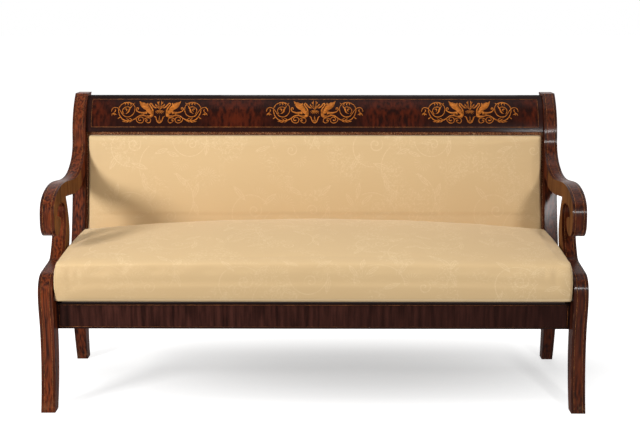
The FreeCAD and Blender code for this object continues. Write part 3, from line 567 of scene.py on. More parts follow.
def on_stile(normal, centre):
    return normal.y < -0.25 and normal.z > -0.35 and centre.z > STILE_FOOT


def on_arm(normal, centre):
    front = normal.y < -0.3 and centre.y < ARM_FRONT
    return front or normal.z > 0.2 and centre.z > ARM_TOP


def on_front(normal, centre):
    return normal.y < -0.25 or normal.z > 0.3


def on_rail(normal, centre):
    return normal.y < -0.5


line_finish = boxwood("boxwood_line", *LINE_TONES)
FRONTS = {"rear_post": on_stile, "arm": on_arm, "arm_support": on_front, "front_leg": on_front}
for side, sign in (("left", -1), ("right", 1)):
    lines = []
    for start in LINES_ACROSS:
        low, high = sorted((sign * start, sign * (start + LINE)))
        for part, shown in FRONTS.items():
            lines.append(inlaid_line(f"{part}_{side}", [("X", low, high)], shown))
    joined(f"lines_end_{side}", lines, line_finish, "frame")

RECTANGLES = (("crest_rail", "lines_crest", CREST_LINE), ("front_rail", "lines_rail", RAIL_LINE))
for source, name, (lowest, highest, end) in RECTANGLES:
    lines = []
    for height in (lowest, highest - LINE):
        lines.append(inlaid_line(source, [("Z", height, height + LINE), ("X", -end, end)], on_rail))
    for across in (-end, end - LINE):
        lines.append(inlaid_line(source, [("X", across, across + LINE), ("Z", lowest, highest)], on_rail))
    joined(name, lines, line_finish, "frame")

# %% [markdown]
# Three panels of marquetry ornament the crest: a palmette between two swans whose tails run out into
# leafy scrolls. The real ones are sawn from pale wood with a fretsaw. Each is drawn here as a set of
# strokes, points with a half-width in millimetres, on the right half, and mirrored. A curve whose
# profile is a flat line turns a stroke into a ribbon that swells and tapers, and a shrinkwrap lays the
# ribbons on the hollow front of the crest.

# %% Strokes of the ornament
PALMETTE = [
    [(0.8, 10, 0.5), (4, 23, 0.8), (5.6, 31, 2.2), (3.6, 38, 0.3)],
    [(5, 26, 0.8), (8.8, 30, 1.5), (10.5, 34, 0.3)],
    [(1.5, 10, 0.5), (6, 18, 0.9), (9.5, 24, 0.4)],
    [(2, 9, 0.5), (10, 17, 0.9), (15.5, 24, 2.0), (17, 27, 0.5)],
    [(2.5, 5, 0.5), (9, 4, 1.1), (16.5, 0.5, 0.3)],
    [(2, 4, 0.5), (8, 0.5, 1.1), (14, -4.5, 0.3)],
    [(1.2, 3, 0.5), (4.5, -2, 1.0), (8.5, -6.5, 0.3)],
    [(0, 3, 0.6), (0, -1.5, 1.2), (0, -7, 0.3)],
    [(0, 9.5, 1.2), (0, 6.5, 2.0), (0, 3, 1.2)],
    [(20.5, -14, 0.4), (14, -17, 1.6), (10.8, -25, 1.8), (6.5, -33.5, 1.9), (0, -37.2, 2.0)],
    [(0, -12.5, 0.4), (0, -20, 2.4), (0, -27, 1.0), (0, -34, 0.6)],
    [(2, -26, 0.5), (4.5, -29.5, 1.1), (3, -33, 0.4)],
]
SWAN = [
    [(27.4, -5, 3.2), (24.8, 3, 2.7), (27.4, 11.2, 2.3), (33.6, 19.4, 2.2), (37, 24.8, 2.1),
     (35.4, 28.3, 2.0), (31, 27.4, 2.1), (25, 20.6, 2.2), (17, 14.8, 2.3), (10, 13, 0.4)],
    [(27, 5, 2.6), (26.5, -4, 4.6), (28.5, -12, 5.2), (35, -15, 3.6), (44, -14, 2.2)],
    [(29, -5, 5.5), (38, 2, 6.0), (46, 8, 4.0)],
    [(33, 3, 3.5), (42.6, 11.2, 7.5), (53.6, 19, 10.2), (62.5, 24.8, 8.2), (69, 29.5, 3.6),
     (74.2, 36.8, 0.4)],
    [(48, 20, 6.0), (44.8, 26, 3.0), (43.3, 30.3, 1.3)],
    [(44, -3, 5.0), (55.5, -2.8, 3.0), (66, -2.3, 2.2), (76.5, 0.7, 2.0), (83, 6, 1.7), (83.4, 11.7, 1.5),
     (80, 14.5, 1.4), (76.5, 11.7, 1.5), (77.6, 8.2, 1.9)],
    [(50, -2, 2.4), (56, -6.5, 2.0), (60, -8.5, 0.4)],
]
SCROLL = [
    [(34, -16, 1.5), (49.6, -13.8, 1.7), (62, -11, 1.7), (71.8, -13.3, 1.6), (81.7, -19.7, 1.6),
     (91.7, -25.7, 1.7), (103.4, -29.4, 1.8), (115, -30.4, 1.9), (127, -27, 1.8), (138.5, -17, 1.4),
     (145.5, -3, 1.3), (147.2, 9, 1.2), (142, 20.6, 1.2), (132.7, 28, 1.3), (119.8, 31.6, 1.6),
     (107, 30.6, 1.5), (96.4, 25.7, 1.2), (90, 17, 1.1), (89.2, 6.5, 1.1), (92.4, -4, 1.2), (101, -12.9, 1.3),
     (114, -16.8, 1.3), (126.8, -13.3, 1.3), (134, -5.2, 1.2), (142, 5.4, 1.1), (148, 11.2, 1.1),
     (156, 14.7, 1.1), (165.4, 13.6, 1.1), (171, 7, 1.1), (172, 1, 0.8)],
    [(119, 31, 1.8), (114, 26.5, 2.0), (116, 22, 0.4)],
    [(125, 30, 1.5), (124, 25.5, 1.3), (126, 22, 0.3)],
    [(108, 30, 1.5), (104, 25.5, 1.6), (106, 20.5, 0.3)],
    [(98, 26, 1.3), (93, 28.5, 1.1), (90, 30.5, 0.3)],
    [(97.5, 23, 0.3), (103, 16.5, 1.6), (108.5, 9, 2.7), (110.5, 2, 2.7), (116, -3.5, 1.4), (122, -5.5, 0.4)],
    [(106, 14, 1.0), (113, 17, 1.1), (121, 16.4, 1.1), (129, 12.4, 1.2), (132.5, 5.4, 1.3), (131, -2, 1.1),
     (126, -7, 0.4)],
    [(126, 9.5, 0.4), (121, 10, 1.6), (117.5, 7, 1.9), (121, 1.5, 0.4)],
    [(160, 10, 0.4), (157.8, 4.5, 1.8), (161, -0.5, 1.0), (164.5, -4, 1.2)],
    [(164, -4, 1.3), (168, -7, 1.7), (171, -12, 0.4)],
    [(164, -4, 1.3), (162.5, -8, 1.8), (161, -12, 0.5)],
    [(163, -5, 1.2), (158, -7.5, 1.5), (153, -9.5, 0.4)],
    [(138.5, -17, 1.1), (143, -19.5, 1.1), (146.6, -21.6, 1.6), (149, -22.8, 0.5)],
    [(118, -30, 1.3), (126, -32.5, 1.4), (133, -31, 0.3)],
    [(106, -29, 1.3), (114, -34, 1.4), (122, -35.5, 0.3)],
    [(95, -27, 1.2), (102, -32.5, 1.3), (109, -35.5, 0.3)],
    [(108, -29, 1.2), (113, -24.5, 1.3), (119, -22.5, 0.3)],
    [(97, -27.5, 1.1), (103, -23, 1.2), (109, -21, 0.3)],
    [(81.2, -18.7, 1.2), (82.6, -26.2, 1.2), (77.7, -33.7, 1.2), (68.3, -37.4, 1.2), (60.1, -35.1, 1.2),
     (56.4, -28.5, 1.2), (59, -20.4, 1.2), (66, -16.8, 1.2), (73, -19.7, 1.2), (75.1, -25, 1.2),
     (70.7, -29, 1.4), (65.3, -27.4, 1.9)],
    [(57, -27, 1.1), (51, -22.5, 1.1), (44, -20, 1.2), (36, -20.5, 1.2), (31.2, -26.5, 1.2), (32.5, -34, 1.2),
     (38.5, -37.3, 1.2), (45, -34.5, 1.2), (49, -29.5, 1.3), (45.5, -27, 1.9), (42, -29, 0.8)],
]
print(len(PALMETTE + SWAN + SCROLL), "strokes in half an ornament")

# %% Marquetry on the crest
MM = 0.001
MM_PER_METRE = 1000.0
PANELS_ACROSS = (-0.5535, 0.0, 0.5535)
PANEL_HEIGHT = 0.883
INLAY_THICKNESS = 0.0008
INLAY_TONES = ((0.30, 0.085, 0.013), (0.64, 0.205, 0.03))
profile_data = bpy.data.curves.new("ribbon_profile", "CURVE")
flat_line = profile_data.splines.new("POLY")
flat_line.points.add(1)
flat_line.points[0].co = (-1, 0, 0, 1)
flat_line.points[1].co = (1, 0, 0, 1)
profile = new_piece("ribbon_profile", profile_data)


def ornament(across):
    drawing = bpy.data.curves.new("ornament", "CURVE")
    drawing.dimensions = "3D"
    drawing.twist_mode = "Z_UP"
    drawing.bevel_mode = "OBJECT"
    drawing.bevel_object = profile
    drawing.resolution_u = 5
    for stroke in PALMETTE + SWAN + SCROLL:
        for mirror in (1, -1):
            line = drawing.splines.new("BEZIER")
            line.bezier_points.add(len(stroke) - 1)
            for spot, (x, up, half) in zip(line.bezier_points, stroke):
                spot.co = (mirror * x, up, 0)
                spot.radius = half
                spot.handle_left_type = spot.handle_right_type = "AUTO"
    made = new_piece("ornament", drawing)
    pick(made)
    bpy.ops.object.convert(target="MESH")
    made.scale = (MM, MM, MM)
    made.rotation_euler = (math.radians(90), 0, 0)
    made.location = (across, 0.0, PANEL_HEIGHT)
    bpy.ops.object.transform_apply(location=True, rotation=True, scale=True)
    project_on(made, "crest_rail", 1)
    finish_with(made, "SOLIDIFY", thickness=INLAY_THICKNESS, offset=0)
    return made


inlay_finish = boxwood("boxwood_inlay", *INLAY_TONES)
panels = [ornament(x) for x in PANELS_ACROSS]
joined("crest_marquetry", panels, inlay_finish, "frame")
bpy.data.objects.remove(profile)

# %% [markdown]
# The cover is a cream damask: one colour of silk, with the figure in a different weave, so that it only
# shows by its shine. The figure repeats every 43 cm, with every second column half a repeat lower. It
# is drawn in a node group from four small shapes, each worked out from the place in the repeat in
# millimetres: a stem (part of a ring), a curl (a spiral), the outline of a leaf, and a spray of strokes.

# %% Shapes of the damask figure
def stem(spot, centre, radius, width, middle, half):
    own = turn_to(spot, centre, middle)
    away = length_of(own)
    ring = spread(abs(away - radius), width, width * 0.5)
    limit = math.cos(math.radians(half))
    return ring * spread(parts_of(own)[0] / away, limit, limit + 0.05)


def curl(spot, centre, radius, pitch, angle):
    own = turn_to(spot, centre, angle)
    x, y, _ = parts_of(own)
    turns = calc("ARCTAN2", y, x) / math.tau
    away = length_of(own)
    phase = calc("FRACT", away / pitch - turns)
    return spread(abs(phase - 0.5), 0.17, 0.08) * spread(away, radius, radius * 0.93)


def leaf(spot, centre, length, breadth, angle):
    x, y, _ = parts_of(turn_to(spot, centre, angle, (length, breadth)))
    side = abs(y)
    edge = x * x + side
    outline = spread(abs(edge - 0.82), 0.26, 0.1)
    vein = spread(side, 0.24, 0.1) * (edge < 1.0)
    return most(outline, vein)


def spray(spot, centre, radius, strokes, angle):
    """A fan of fine bent strokes, like a fern, that opens round the angle."""
    own = turn_to(spot, centre, angle, (radius, radius))
    x, y, _ = parts_of(own)
    way = calc("ARCTAN2", y, x)
    away = length_of(own)
    line = spread(calc("COSINE", away * 5.0 + way * strokes), 0.6, 0.95)
    wide = spread(abs(way), 1.9, 1.5)
    ring = spread(abs(away - 0.62), 0.4, 0.28)
    return line * (wide * ring)


# %% The damask repeat
REPEAT = (430.0, 460.0)
STEMS = [
    ((118, 300), 66, 2.2, 150, 125), ((248, 232), 96, 2.0, 190, 62), ((252, 120), 92, 2.0, 20, 58),
    ((330, 330), 60, 2.0, 280, 95), ((118, 60), 84, 2.0, 60, 55),
]
CURLS = [((132, 312), 27, 18.0, 30), ((338, 312), 22, 15.0, 200), ((262, 62), 22, 15.0, 80)]
LEAVES = [
    ((60, 250), 34, 9, 60), ((78, 372), 34, 9, 130), ((186, 352), 30, 9, 40), ((152, 236), 32, 9, 160),
    ((170, 180), 34, 9, 100), ((196, 130), 30, 8, 60), ((300, 190), 30, 8, 130), ((352, 150), 32, 9, 70),
    ((352, 90), 30, 8, 110), ((392, 300), 30, 8, 80), ((380, 380), 32, 9, 40), ((276, 380), 30, 8, 150),
    ((70, 150), 30, 8, 80), ((100, 120), 28, 8, 40), ((40, 118), 28, 8, 120), ((160, 66), 30, 8, 20),
    ((230, 288), 26, 8, 20), ((270, 278), 24, 8, 160),
]
SPRAYS = [
    ((232, 330), 42, 23, 90), ((205, 400), 30, 19, 60), ((262, 420), 28, 19, 200), ((72, 84), 42, 23, 120),
    ((394, 200), 36, 21, 20), ((300, 250), 32, 19, 250), ((150, 360), 34, 17, 40), ((96, 262), 32, 17, 220),
    ((372, 344), 30, 17, 330), ((224, 84), 30, 17, 130), ((290, 30), 28, 15, 300), ((170, 130), 30, 17, 20),
]
START_ACROSS = 4215.0


def damask_group():
    group = bpy.data.node_groups.new("damask_figure", "ShaderNodeTree")
    for name, way in (("Along", "INPUT"), ("Up", "INPUT"), ("Figure", "OUTPUT")):
        group.interface.new_socket(name, in_out=way, socket_type="NodeSocketFloat")
    start = group.nodes.new("NodeGroupInput").outputs
    end = group.nodes.new("NodeGroupOutput")
    across = Value(start["Along"]) * MM_PER_METRE + START_ACROSS
    column = calc("FLOOR", across / REPEAT[0])
    lowered = calc("MODULO", column, 2.0) * (REPEAT[1] / 2)
    up = Value(start["Up"]) * MM_PER_METRE + lowered
    x = calc("FLOORED_MODULO", across, REPEAT[0])
    y = calc("FLOORED_MODULO", up, REPEAT[1])
    spot = spot_at(x, y)
    figure = x * 0.0
    for draw, shapes in ((stem, STEMS), (curl, CURLS), (leaf, LEAVES), (spray, SPRAYS)):
        for facts in shapes:
            figure = most(figure, draw(spot, *facts))
    give(end, {"Figure": figure})
    print("damask figure:", len(group.nodes), "nodes")
    return group


figure_group = damask_group()


# %% [markdown]
# The cloth itself: the ground a little duller than the worn figure, which is also painted a little lighter
# as painted sheen, small sprigs scattered between, slubs along the weft, a weave of one thread to the
# millimetre, faint clouds of age, and a soft sheen. On the seat the pattern runs up the front and on over
# the top, so there its height is Y plus Z. A painted highlight runs along the seat's lower edge, where the
# cloth turns under, and painted shade marks the seam at each front corner. The seat's front faces get
# painted shade, most of it on the left, and the back gets painted shade, darker towards the seat.

# %% Damask finish
GROUND = (0.70, 0.495, 0.26)
FIGURE_PAINTED_SHEEN = (0.80, 0.60, 0.345)
SLUB = (0.60, 0.41, 0.20)
AGED = (0.62, 0.42, 0.21)
BACK_PAINTED_SHADE = (0.56, 0.37, 0.18)
FRONT_PAINTED_SHADE = (0.53, 0.36, 0.18)
RIM_PAINTED_HIGHLIGHT = (0.88, 0.68, 0.42)
SEAM_PAINTED_SHADE = (0.36, 0.22, 0.1)
SEAT_FACE = -0.32
RIM_HEIGHT = 0.3605
SEAM_ACROSS = 0.8035
THREAD = 0.0011


def plain_weave(across, up, pitch):
    """A checker of threads that cross each other, from -1 to 1."""
    return calc("SINE", across * (math.tau / pitch)) * calc("SINE", up * (math.tau / pitch))


def damask(name, over_top):
    finish, shader, spot, normal = new_finish(name)
    x, y, z = parts_of(spot)
    up = y + z if over_top else z
    pattern = put(spot.tree, "Group", {"Along": x, "Up": up}, node_tree=figure_group)
    flat = spot_at(x, up)
    slub = noise(flat, 1.0, 2.0, 0.5, (25, 900, 1))
    worn = spread(noise(flat, 160.0, 2.0), 0.38, 0.58, 0.25, 1.0)
    sprigs = near(noise(flat, 62.0, 2.0), 0.5, 0.05) * spread(noise(flat, 8.0, 1.0), 0.5, 0.57)
    figure = most(Value(pattern["Figure"]), sprigs) * worn
    cloud = noise(spot, 3.5, 2.0)
    # The figure is painted lighter than the ground as painted sheen.
    colour = mix(figure * 0.8, GROUND, FIGURE_PAINTED_SHEEN)
    colour = mix(spread(slub, 0.4, 0.75, 0.0, 0.16), colour, SLUB)
    colour = mix(spread(cloud, 0.4, 0.75, 0.0, 0.2), colour, AGED)
    if over_top:
        in_front = y < SEAT_FACE
        # A painted highlight along the lower rim of the seat's front.
        colour = mix(near(z, RIM_HEIGHT, 0.0035) * in_front * 0.8, colour, RIM_PAINTED_HIGHLIGHT)
        # Painted shade along the seam at each front corner.
        colour = mix(near(abs(x), SEAM_ACROSS, 0.0014) * in_front * 0.6, colour, SEAM_PAINTED_SHADE)
        # Painted shade on the faces that look forward, most on the left.
        forward = spread(parts_of(normal)[1], -0.55, -0.8)
        colour = mix(forward * spread(x, -0.8, 0.5, 0.6, 0.05), colour, FRONT_PAINTED_SHADE)
    else:
        # Painted shade on the back, darker towards the seat.
        colour = mix(spread(z, 0.5, 0.72, 0.55, 0.0), colour, BACK_PAINTED_SHADE)
    height = plain_weave(x, up, THREAD) * 0.25 + slub * 0.6
    give(shader, {
        "Base Color": colour, "Roughness": spread(figure, 0.0, 1.0, 0.62, 0.54),
        "Normal": relief(height, 0.35, 0.0003), "Sheen Weight": 0.12, "Sheen Roughness": 0.45,
        "Specular IOR Level": 0.25,
    })
    return finish


# %% [markdown]
# The loose seat and the back are stuffed with hair under a tight cover. Cloth simulation blows each skin
# up against its own tension, as stuffing does, and a limit keeps the swelling small, so that nothing is
# pushed into the woodwork. Points where the cloth is tacked down are held still.

# %% Stuffing by cloth pressure
STEPS = 14


def points_of(piece):
    flat = np.empty(len(piece.data.vertices) * 3)
    piece.data.vertices.foreach_get("co", flat)
    return flat.reshape(-1, 3)


def place_points(piece, points):
    piece.data.vertices.foreach_set("co", points.ravel())
    piece.data.update()


def inflate(piece, held, swell):
    """Moves the points of a closed skin outwards by cloth pressure, up to a limit, except the held ones."""
    before = points_of(piece)
    still = piece.vertex_groups.new(name="still")
    still.add(np.flatnonzero(held).tolist(), 1.0, "REPLACE")
    cloth = piece.modifiers.new("Cloth", "CLOTH")
    cloth.settings.quality = 3
    cloth.settings.use_pressure = True
    cloth.settings.uniform_pressure_force = 4.0
    cloth.settings.effector_weights.gravity = 0
    cloth.settings.vertex_group_mass = "still"
    cloth.settings.tension_stiffness = cloth.settings.compression_stiffness = 12
    cloth.collision_settings.use_collision = False
    cloth.point_cache.frame_start, cloth.point_cache.frame_end = 1, STEPS
    for step in range(1, STEPS + 1):
        scene.frame_set(step)
    pick(piece)
    bpy.ops.object.modifier_apply(modifier="Cloth")
    scene.frame_set(1)
    piece.vertex_groups.clear()
    moved = points_of(piece) - before
    far = np.maximum(np.linalg.norm(moved, axis=1, keepdims=True), 1e-9)
    place_points(piece, before + moved * np.minimum(1.0, swell / far))
    print(piece.name, len(piece.data.polygons), "faces, moved by up to", round(float(far.max()), 4))


# %% [markdown]
# The seat's skin starts from its packed pad, grown to the outside of the cover. A voxel remesh makes it
# of even small squares, and a shrinkwrap takes these back to the form that the remesh rounded off.
# Its lower rim and its rear, which faces the back, are held. Then the front edge and both ends are
# filled out to a squarer corner, and shallow hollows are pressed in along the front edge, where the
# stuffing of a worn seat has shifted. Each is given in millimetres: its place across and its height,
# its reach both ways, and its depth.

# %% Loose seat
COVER = 0.0019
VOXEL = 0.006
SEAT_SWELL = 0.0022
RIM_TOP = 0.358
REAR_EDGE = 0.13
FRONT_EDGE = (0, -0.332, 0.47)
FRONT_REACH = (9, 0.018, 0.016)
FRONT_FILL = 0.0045
INTO_EDGE = np.array((0, 0.7, -0.7))
DENT_FRONT = -0.34
DENT_REACH = 0.04
DENTS = [
    (-665, 452, 30, 12, 4.8), (-595, 458, 16, 14, 2.6), (-490, 456, 28, 11, 3.6), (-430, 457, 20, 10, 3.2),
    (-320, 458, 34, 12, 3.4), (-220, 460, 40, 12, 3.2), (-100, 462, 30, 12, 2.2), (50, 462, 50, 13, 2.6),
    (190, 460, 30, 12, 2.2), (310, 459, 50, 13, 2.8), (470, 457, 30, 12, 2.2), (600, 455, 60, 14, 3.2),
    (-760, 440, 9, 26, 2.6), (-735, 446, 8, 22, 2.2), (755, 440, 9, 26, 2.4), (720, 446, 10, 20, 2.0),
]
END_START, END_REACH, END_LIMIT = 0.782, 0.026, 0.8129
END_LIFT, END_WIDENING = 0.011, 0.0036
LIFT_START, LIFT_REACH = 0.415, 0.05
hollow_low, hollow_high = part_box("seat_hessian")


def in_hollow(points):
    """Which points belong to the hollow that the seat's frame fills."""
    past = points[:, :2] > np.array(hollow_low.xy) - MM
    before = points[:, :2] < np.array(hollow_high.xy) + MM
    return np.all(past & before, axis=1) & (points[:, 2] < hollow_high.z + MM)


def dent(points, centre, reach, depth):
    """Presses a soft oval hollow into the edge round a centre. A depth below 0 fills the edge out."""
    away = np.sum(((points - np.array(centre)) / np.array(reach)) ** 2, axis=1)
    return points + np.exp(-away)[:, None] * depth * INTO_EDGE


form = copy_of("seat_pad", "seat_form")
points = points_of(form)
facing_out = np.array([corner.normal for corner in form.data.vertices])
place_points(form, points + facing_out * (COVER * ~in_hollow(points))[:, None])
pick(form)
bpy.ops.object.duplicate()
seat = bpy.context.object
seat.name = "seat_cushion"
finish_with(seat, "REMESH", mode="VOXEL", voxel_size=VOXEL, use_smooth_shade=True)
finish_with(seat, "SMOOTH", factor=0.5, iterations=2)
finish_with(seat, "SHRINKWRAP", target=form, wrap_method="NEAREST_SURFACEPOINT")
finish_with(seat, "SMOOTH", factor=0.5, iterations=1)
bpy.data.objects.remove(form)
points = points_of(seat)
held = in_hollow(points) | (points[:, 2] < RIM_TOP) | (points[:, 1] > REAR_EDGE)
inflate(seat, held, SEAT_SWELL)
points = dent(points_of(seat), FRONT_EDGE, FRONT_REACH, -FRONT_FILL)
for across, height, wide, tall, depth in DENTS:
    centre = (across * MM, DENT_FRONT, height * MM)
    points = dent(points, centre, (wide * MM, DENT_REACH, tall * MM), depth * MM)
outward = np.clip((np.abs(points[:, 0]) - END_START) / END_REACH, 0, 1)
points[:, 2] += END_LIFT * outward**1.5 * np.clip((points[:, 2] - LIFT_START) / LIFT_REACH, 0, 1)
widened = points[:, 0] + np.sign(points[:, 0]) * END_WIDENING * outward
points[:, 0] = np.clip(widened, -END_LIMIT, END_LIMIT)
place_points(seat, points)
seat.data.materials.append(damask("damask_seat", True))
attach(seat, "seat")
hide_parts("seat_pad", "seat_cover")

# %% [markdown]
# The back's skin starts as two standing grids. One is projected on the front of its cover and one on the
# rear of its pad, and the gap between their borders is bridged. The border stays where it is tacked,
# and so does the part behind the loose seat. Above the seat the stuffing swells out in a tight roll,
# most of all at the top.

# %% Stuffed back
ACROSS, UPWARD = 360, 96
END_ROLL = 0.012
SEAT_TOP = 0.52
BEHIND_SEAT = 0.53
TACKED_BAND = 0.005
TOP_ROLL = 0.0115
BACK_SWELL = 0.0018


def standing_grid(name, target, margin, towards):
    """A grid that stands within a node's outline and is projected on it along Y."""
    low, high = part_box(target)
    middle = (low.z + high.z) / 2
    wide, tall = high.x - low.x - 2 * margin, high.z - low.z - 2 * margin
    piece = new_grid(name, ACROSS, UPWARD, (wide, tall), (0, -towards, middle), upright=True)
    points = points_of(piece)
    into_roll = np.clip(END_ROLL - (wide / 2 - np.abs(points[:, 0])), 0, END_ROLL)
    fall = END_ROLL - np.sqrt(END_ROLL**2 - into_roll**2)
    points[:, 2] = middle + (points[:, 2] - middle) * (1 - fall / tall)
    place_points(piece, points)
    project_on(piece, target, towards)
    return piece


def inside(points, low, high):
    """How far each point is from the nearest edge of a box, as seen from the front."""
    return np.minimum.reduce([high.x - np.abs(points[:, 0]), points[:, 2] - low.z, high.z - points[:, 2]])


rear = standing_grid("back_rear", "back_pad", margin=0.0008, towards=-1)
back = standing_grid("back_cushion", "back_cover", margin=0.0004, towards=1)
low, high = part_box("back_cover")
points = points_of(back)
from_border = inside(points, low, high)
above_seat = np.clip((points[:, 2] - SEAT_TOP) / (high.z - SEAT_TOP), 0, 1)
roll = np.sqrt(1 - (1 - np.clip(from_border / END_ROLL, 0, 1)) ** 2)
points[:, 1] -= roll * TOP_ROLL * above_seat
place_points(back, points)
tacked = (from_border < TACKED_BAND) | (points[:, 2] < BEHIND_SEAT)
held = np.concatenate([tacked, np.ones(len(rear.data.vertices), bool)])
pick(rear, back)
bpy.ops.object.join()
edit(back)
bpy.ops.mesh.select_mode(type="EDGE")
bpy.ops.mesh.select_all(action="DESELECT")
bpy.ops.mesh.select_non_manifold()
bpy.ops.mesh.bridge_edge_loops()
bpy.ops.mesh.select_all(action="SELECT")
bpy.ops.mesh.normals_make_consistent(inside=False)
bpy.ops.mesh.faces_shade_smooth()
leave_edit()
inflate(back, held, BACK_SWELL)
back.data.materials.append(damask("damask_back", False))
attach(back, "frame")
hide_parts("back_pad", "back_cover")

# %% [markdown]
# A narrow brown braid hides the tacks along the top and the sides of the back. It is a plaited cord of
# short speckled stitches, rather ragged with age. One stitch is modelled from a ball of a few faces,
# and copies of it are laid in slanting rows along the braid's own solid, four at the top and two at the
# sides, a little uneven in length, slant and height.

# %% Braid round the back
BRAID_TONES = ((0.045, 0.014, 0.006), (0.36, 0.125, 0.045))
BRAID_SPECK = (0.62, 0.38, 0.2)
BRAID_FADED = (0.10, 0.035, 0.014)
STITCH = (0.0031, 0.0014, 0.0013)
STITCH_PITCH = 0.0034
STITCH_LIFT, LIFT_SPREAD = 0.0002, 0.0003
SLANT, SLANT_SPREAD = 34, 9
SMALLEST, LARGEST = (0.8, 0.85, 0.85), (1.2, 1.15, 1.2)
HEAD_ROWS = (-0.0043, -0.00145, 0.00145, 0.0043)
SIDE_ROWS = (-0.0018, 0.0018)
HEAD_INSET, SIDE_INSET, END_MARGIN = 0.0057, 0.0037, 0.004


def braid_finish():
    finish, shader, spot, _ = new_finish("speckled_braid")
    speck = noise(spot, 330.0, 2.0, 0.6)
    fade = noise(spot, 24.0, 3.0)
    colour = mix(spread(speck, 0.36, 0.6), *BRAID_TONES)
    colour = mix(spread(speck, 0.58, 0.7), colour, BRAID_SPECK)
    colour = mix(spread(fade, 0.5, 0.7, 0.0, 0.5), colour, BRAID_FADED)
    give(shader, {
        "Base Color": colour, "Roughness": spread(speck, 0.3, 0.7, 0.95, 0.75),
        "Normal": relief(noise(spot, 1800.0, 2.0), 0.5, 0.0003), "Sheen Weight": 0.1,
        "Specular IOR Level": 0.15,
    })
    return finish


bpy.ops.object.select_all(action="DESELECT")
bpy.ops.mesh.primitive_uv_sphere_add(segments=7, ring_count=5, radius=1.0)
stitch = bpy.context.object
edit(stitch)
bpy.ops.transform.rotate(value=math.radians(90), orient_axis="Y", center_override=(0, 0, 0))
bpy.ops.transform.resize(value=STITCH, center_override=(0, 0, 0))
leave_edit()
stitch_points = points_of(stitch)
stitch_faces = [list(face.vertices) for face in stitch.data.polygons]
bpy.data.objects.remove(stitch)
braid_low, braid_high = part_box("back_braid")
head = braid_high.z - HEAD_INSET
edge = braid_high.x - SIDE_INSET


def on_braid(x, z):
    """The place on the front of the braid's solid."""
    return np.array(node["back_braid"].ray_cast((x, -2.0, z), (0, 1, 0))[1])


rows = []
for number, aside in enumerate(HEAD_ROWS):
    rows.append(((-1) ** number, [on_braid(x, head + aside) for x in np.arange(-edge, edge, STITCH_PITCH)]))
heights = np.arange(braid_low.z + END_MARGIN, head - END_MARGIN, STITCH_PITCH)
for x in (-edge, edge):
    for number, aside in enumerate(SIDE_ROWS):
        rows.append(((-1) ** number, [on_braid(x + aside, z) for z in heights]))
chance = np.random.default_rng(11)
braid_points, braid_faces = [], []
for lean, run in rows:
    for here, ahead in zip(run, run[1:]):
        forward = (ahead - here) / np.linalg.norm(ahead - here)
        outward = np.cross(forward, np.cross((0, -1, 0), forward))
        outward = outward / np.linalg.norm(outward)
        beside = np.cross(outward, forward)
        slant = math.radians(lean * SLANT + chance.normal(0, SLANT_SPREAD))
        along_row = forward * math.cos(slant) + beside * math.sin(slant)
        across_row = np.cross(outward, along_row)
        middle = here + outward * (STITCH_LIFT + chance.normal(0, LIFT_SPREAD))
        x, y, z = (stitch_points * chance.uniform(SMALLEST, LARGEST)).T
        braid_faces += [[len(braid_points) * len(stitch_points) + i for i in face] for face in stitch_faces]
        braid_points.append(middle + np.outer(x, along_row) + np.outer(y, across_row) + np.outer(z, outward))
braid_mesh = bpy.data.meshes.new("back_braid_stitches")
braid_mesh.from_pydata(np.concatenate(braid_points).tolist(), [], braid_faces)
braid = new_piece("braid", braid_mesh)
edit(braid)
bpy.ops.mesh.normals_make_consistent(inside=False)
bpy.ops.mesh.faces_shade_smooth()
leave_edit()
joined("braid", [braid], braid_finish(), "frame")
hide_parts("back_braid")
print(len(braid_points), "stitches")

# %% [markdown]
# Below and behind, the stuffing is carried by jute webbing, and hessian lies on it. The straps of the
# seat are woven over and under each other. A strap is a grid in edit mode, moved up and down by half a
# cosine from crossing to crossing, then given its thickness. The weave and the dark edge stripes are in
# its finish.

# %% Jute webbing, hessian and plain cloth finishes
JUTE = ((0.42, 0.29, 0.15), (0.23, 0.145, 0.07), 0.0022)
HESSIAN = ((0.40, 0.28, 0.15), (0.15, 0.095, 0.045), 0.0026)
LINING = ((0.50, 0.385, 0.25), (0.36, 0.265, 0.16), 0.0012)
STRIPE = (0.03, 0.02, 0.015)


def plain_cloth(name, ground, shade, pitch, standing=False, striped=False):
    finish, shader, spot, _ = new_finish(name)
    x, y, z = parts_of(spot)
    fibre = noise(spot, 420.0, 3.0, 0.6)
    share = plain_weave(x, z if standing else y, pitch) * 0.28 + fibre
    colour = mix(spread(share, 0.25, 0.8), shade, ground)
    colour = mix(spread(noise(spot, 6.0, 3.0), 0.45, 0.75, 0.0, 0.35), colour, shade)
    if striped:
        aside = Value(put(spot.tree, "Attribute", {}, attribute_name="across")["Fac"])
        colour = mix(spread(abs(aside - 0.72), 0.05, 0.04, 0.0, 0.8), colour, STRIPE)
    give(shader, {
        "Base Color": colour, "Roughness": spread(fibre, 0.3, 0.7, 0.95, 0.8),
        "Normal": relief(share, 0.5, pitch * 0.3), "Sheen Weight": 0.1,
    })
    return finish


jute = plain_cloth("jute_webbing", *JUTE, striped=True)
hessian_finish = plain_cloth("hessian_cloth", *HESSIAN)
lining = plain_cloth("backing_cloth", *LINING, standing=True)

# %% Webbing straps
STRAP_THICKNESS = 0.0011
STRAP_STEP = 0.012
STRAP_COLUMNS = 9
FOLD_ANGLE = math.radians(40)


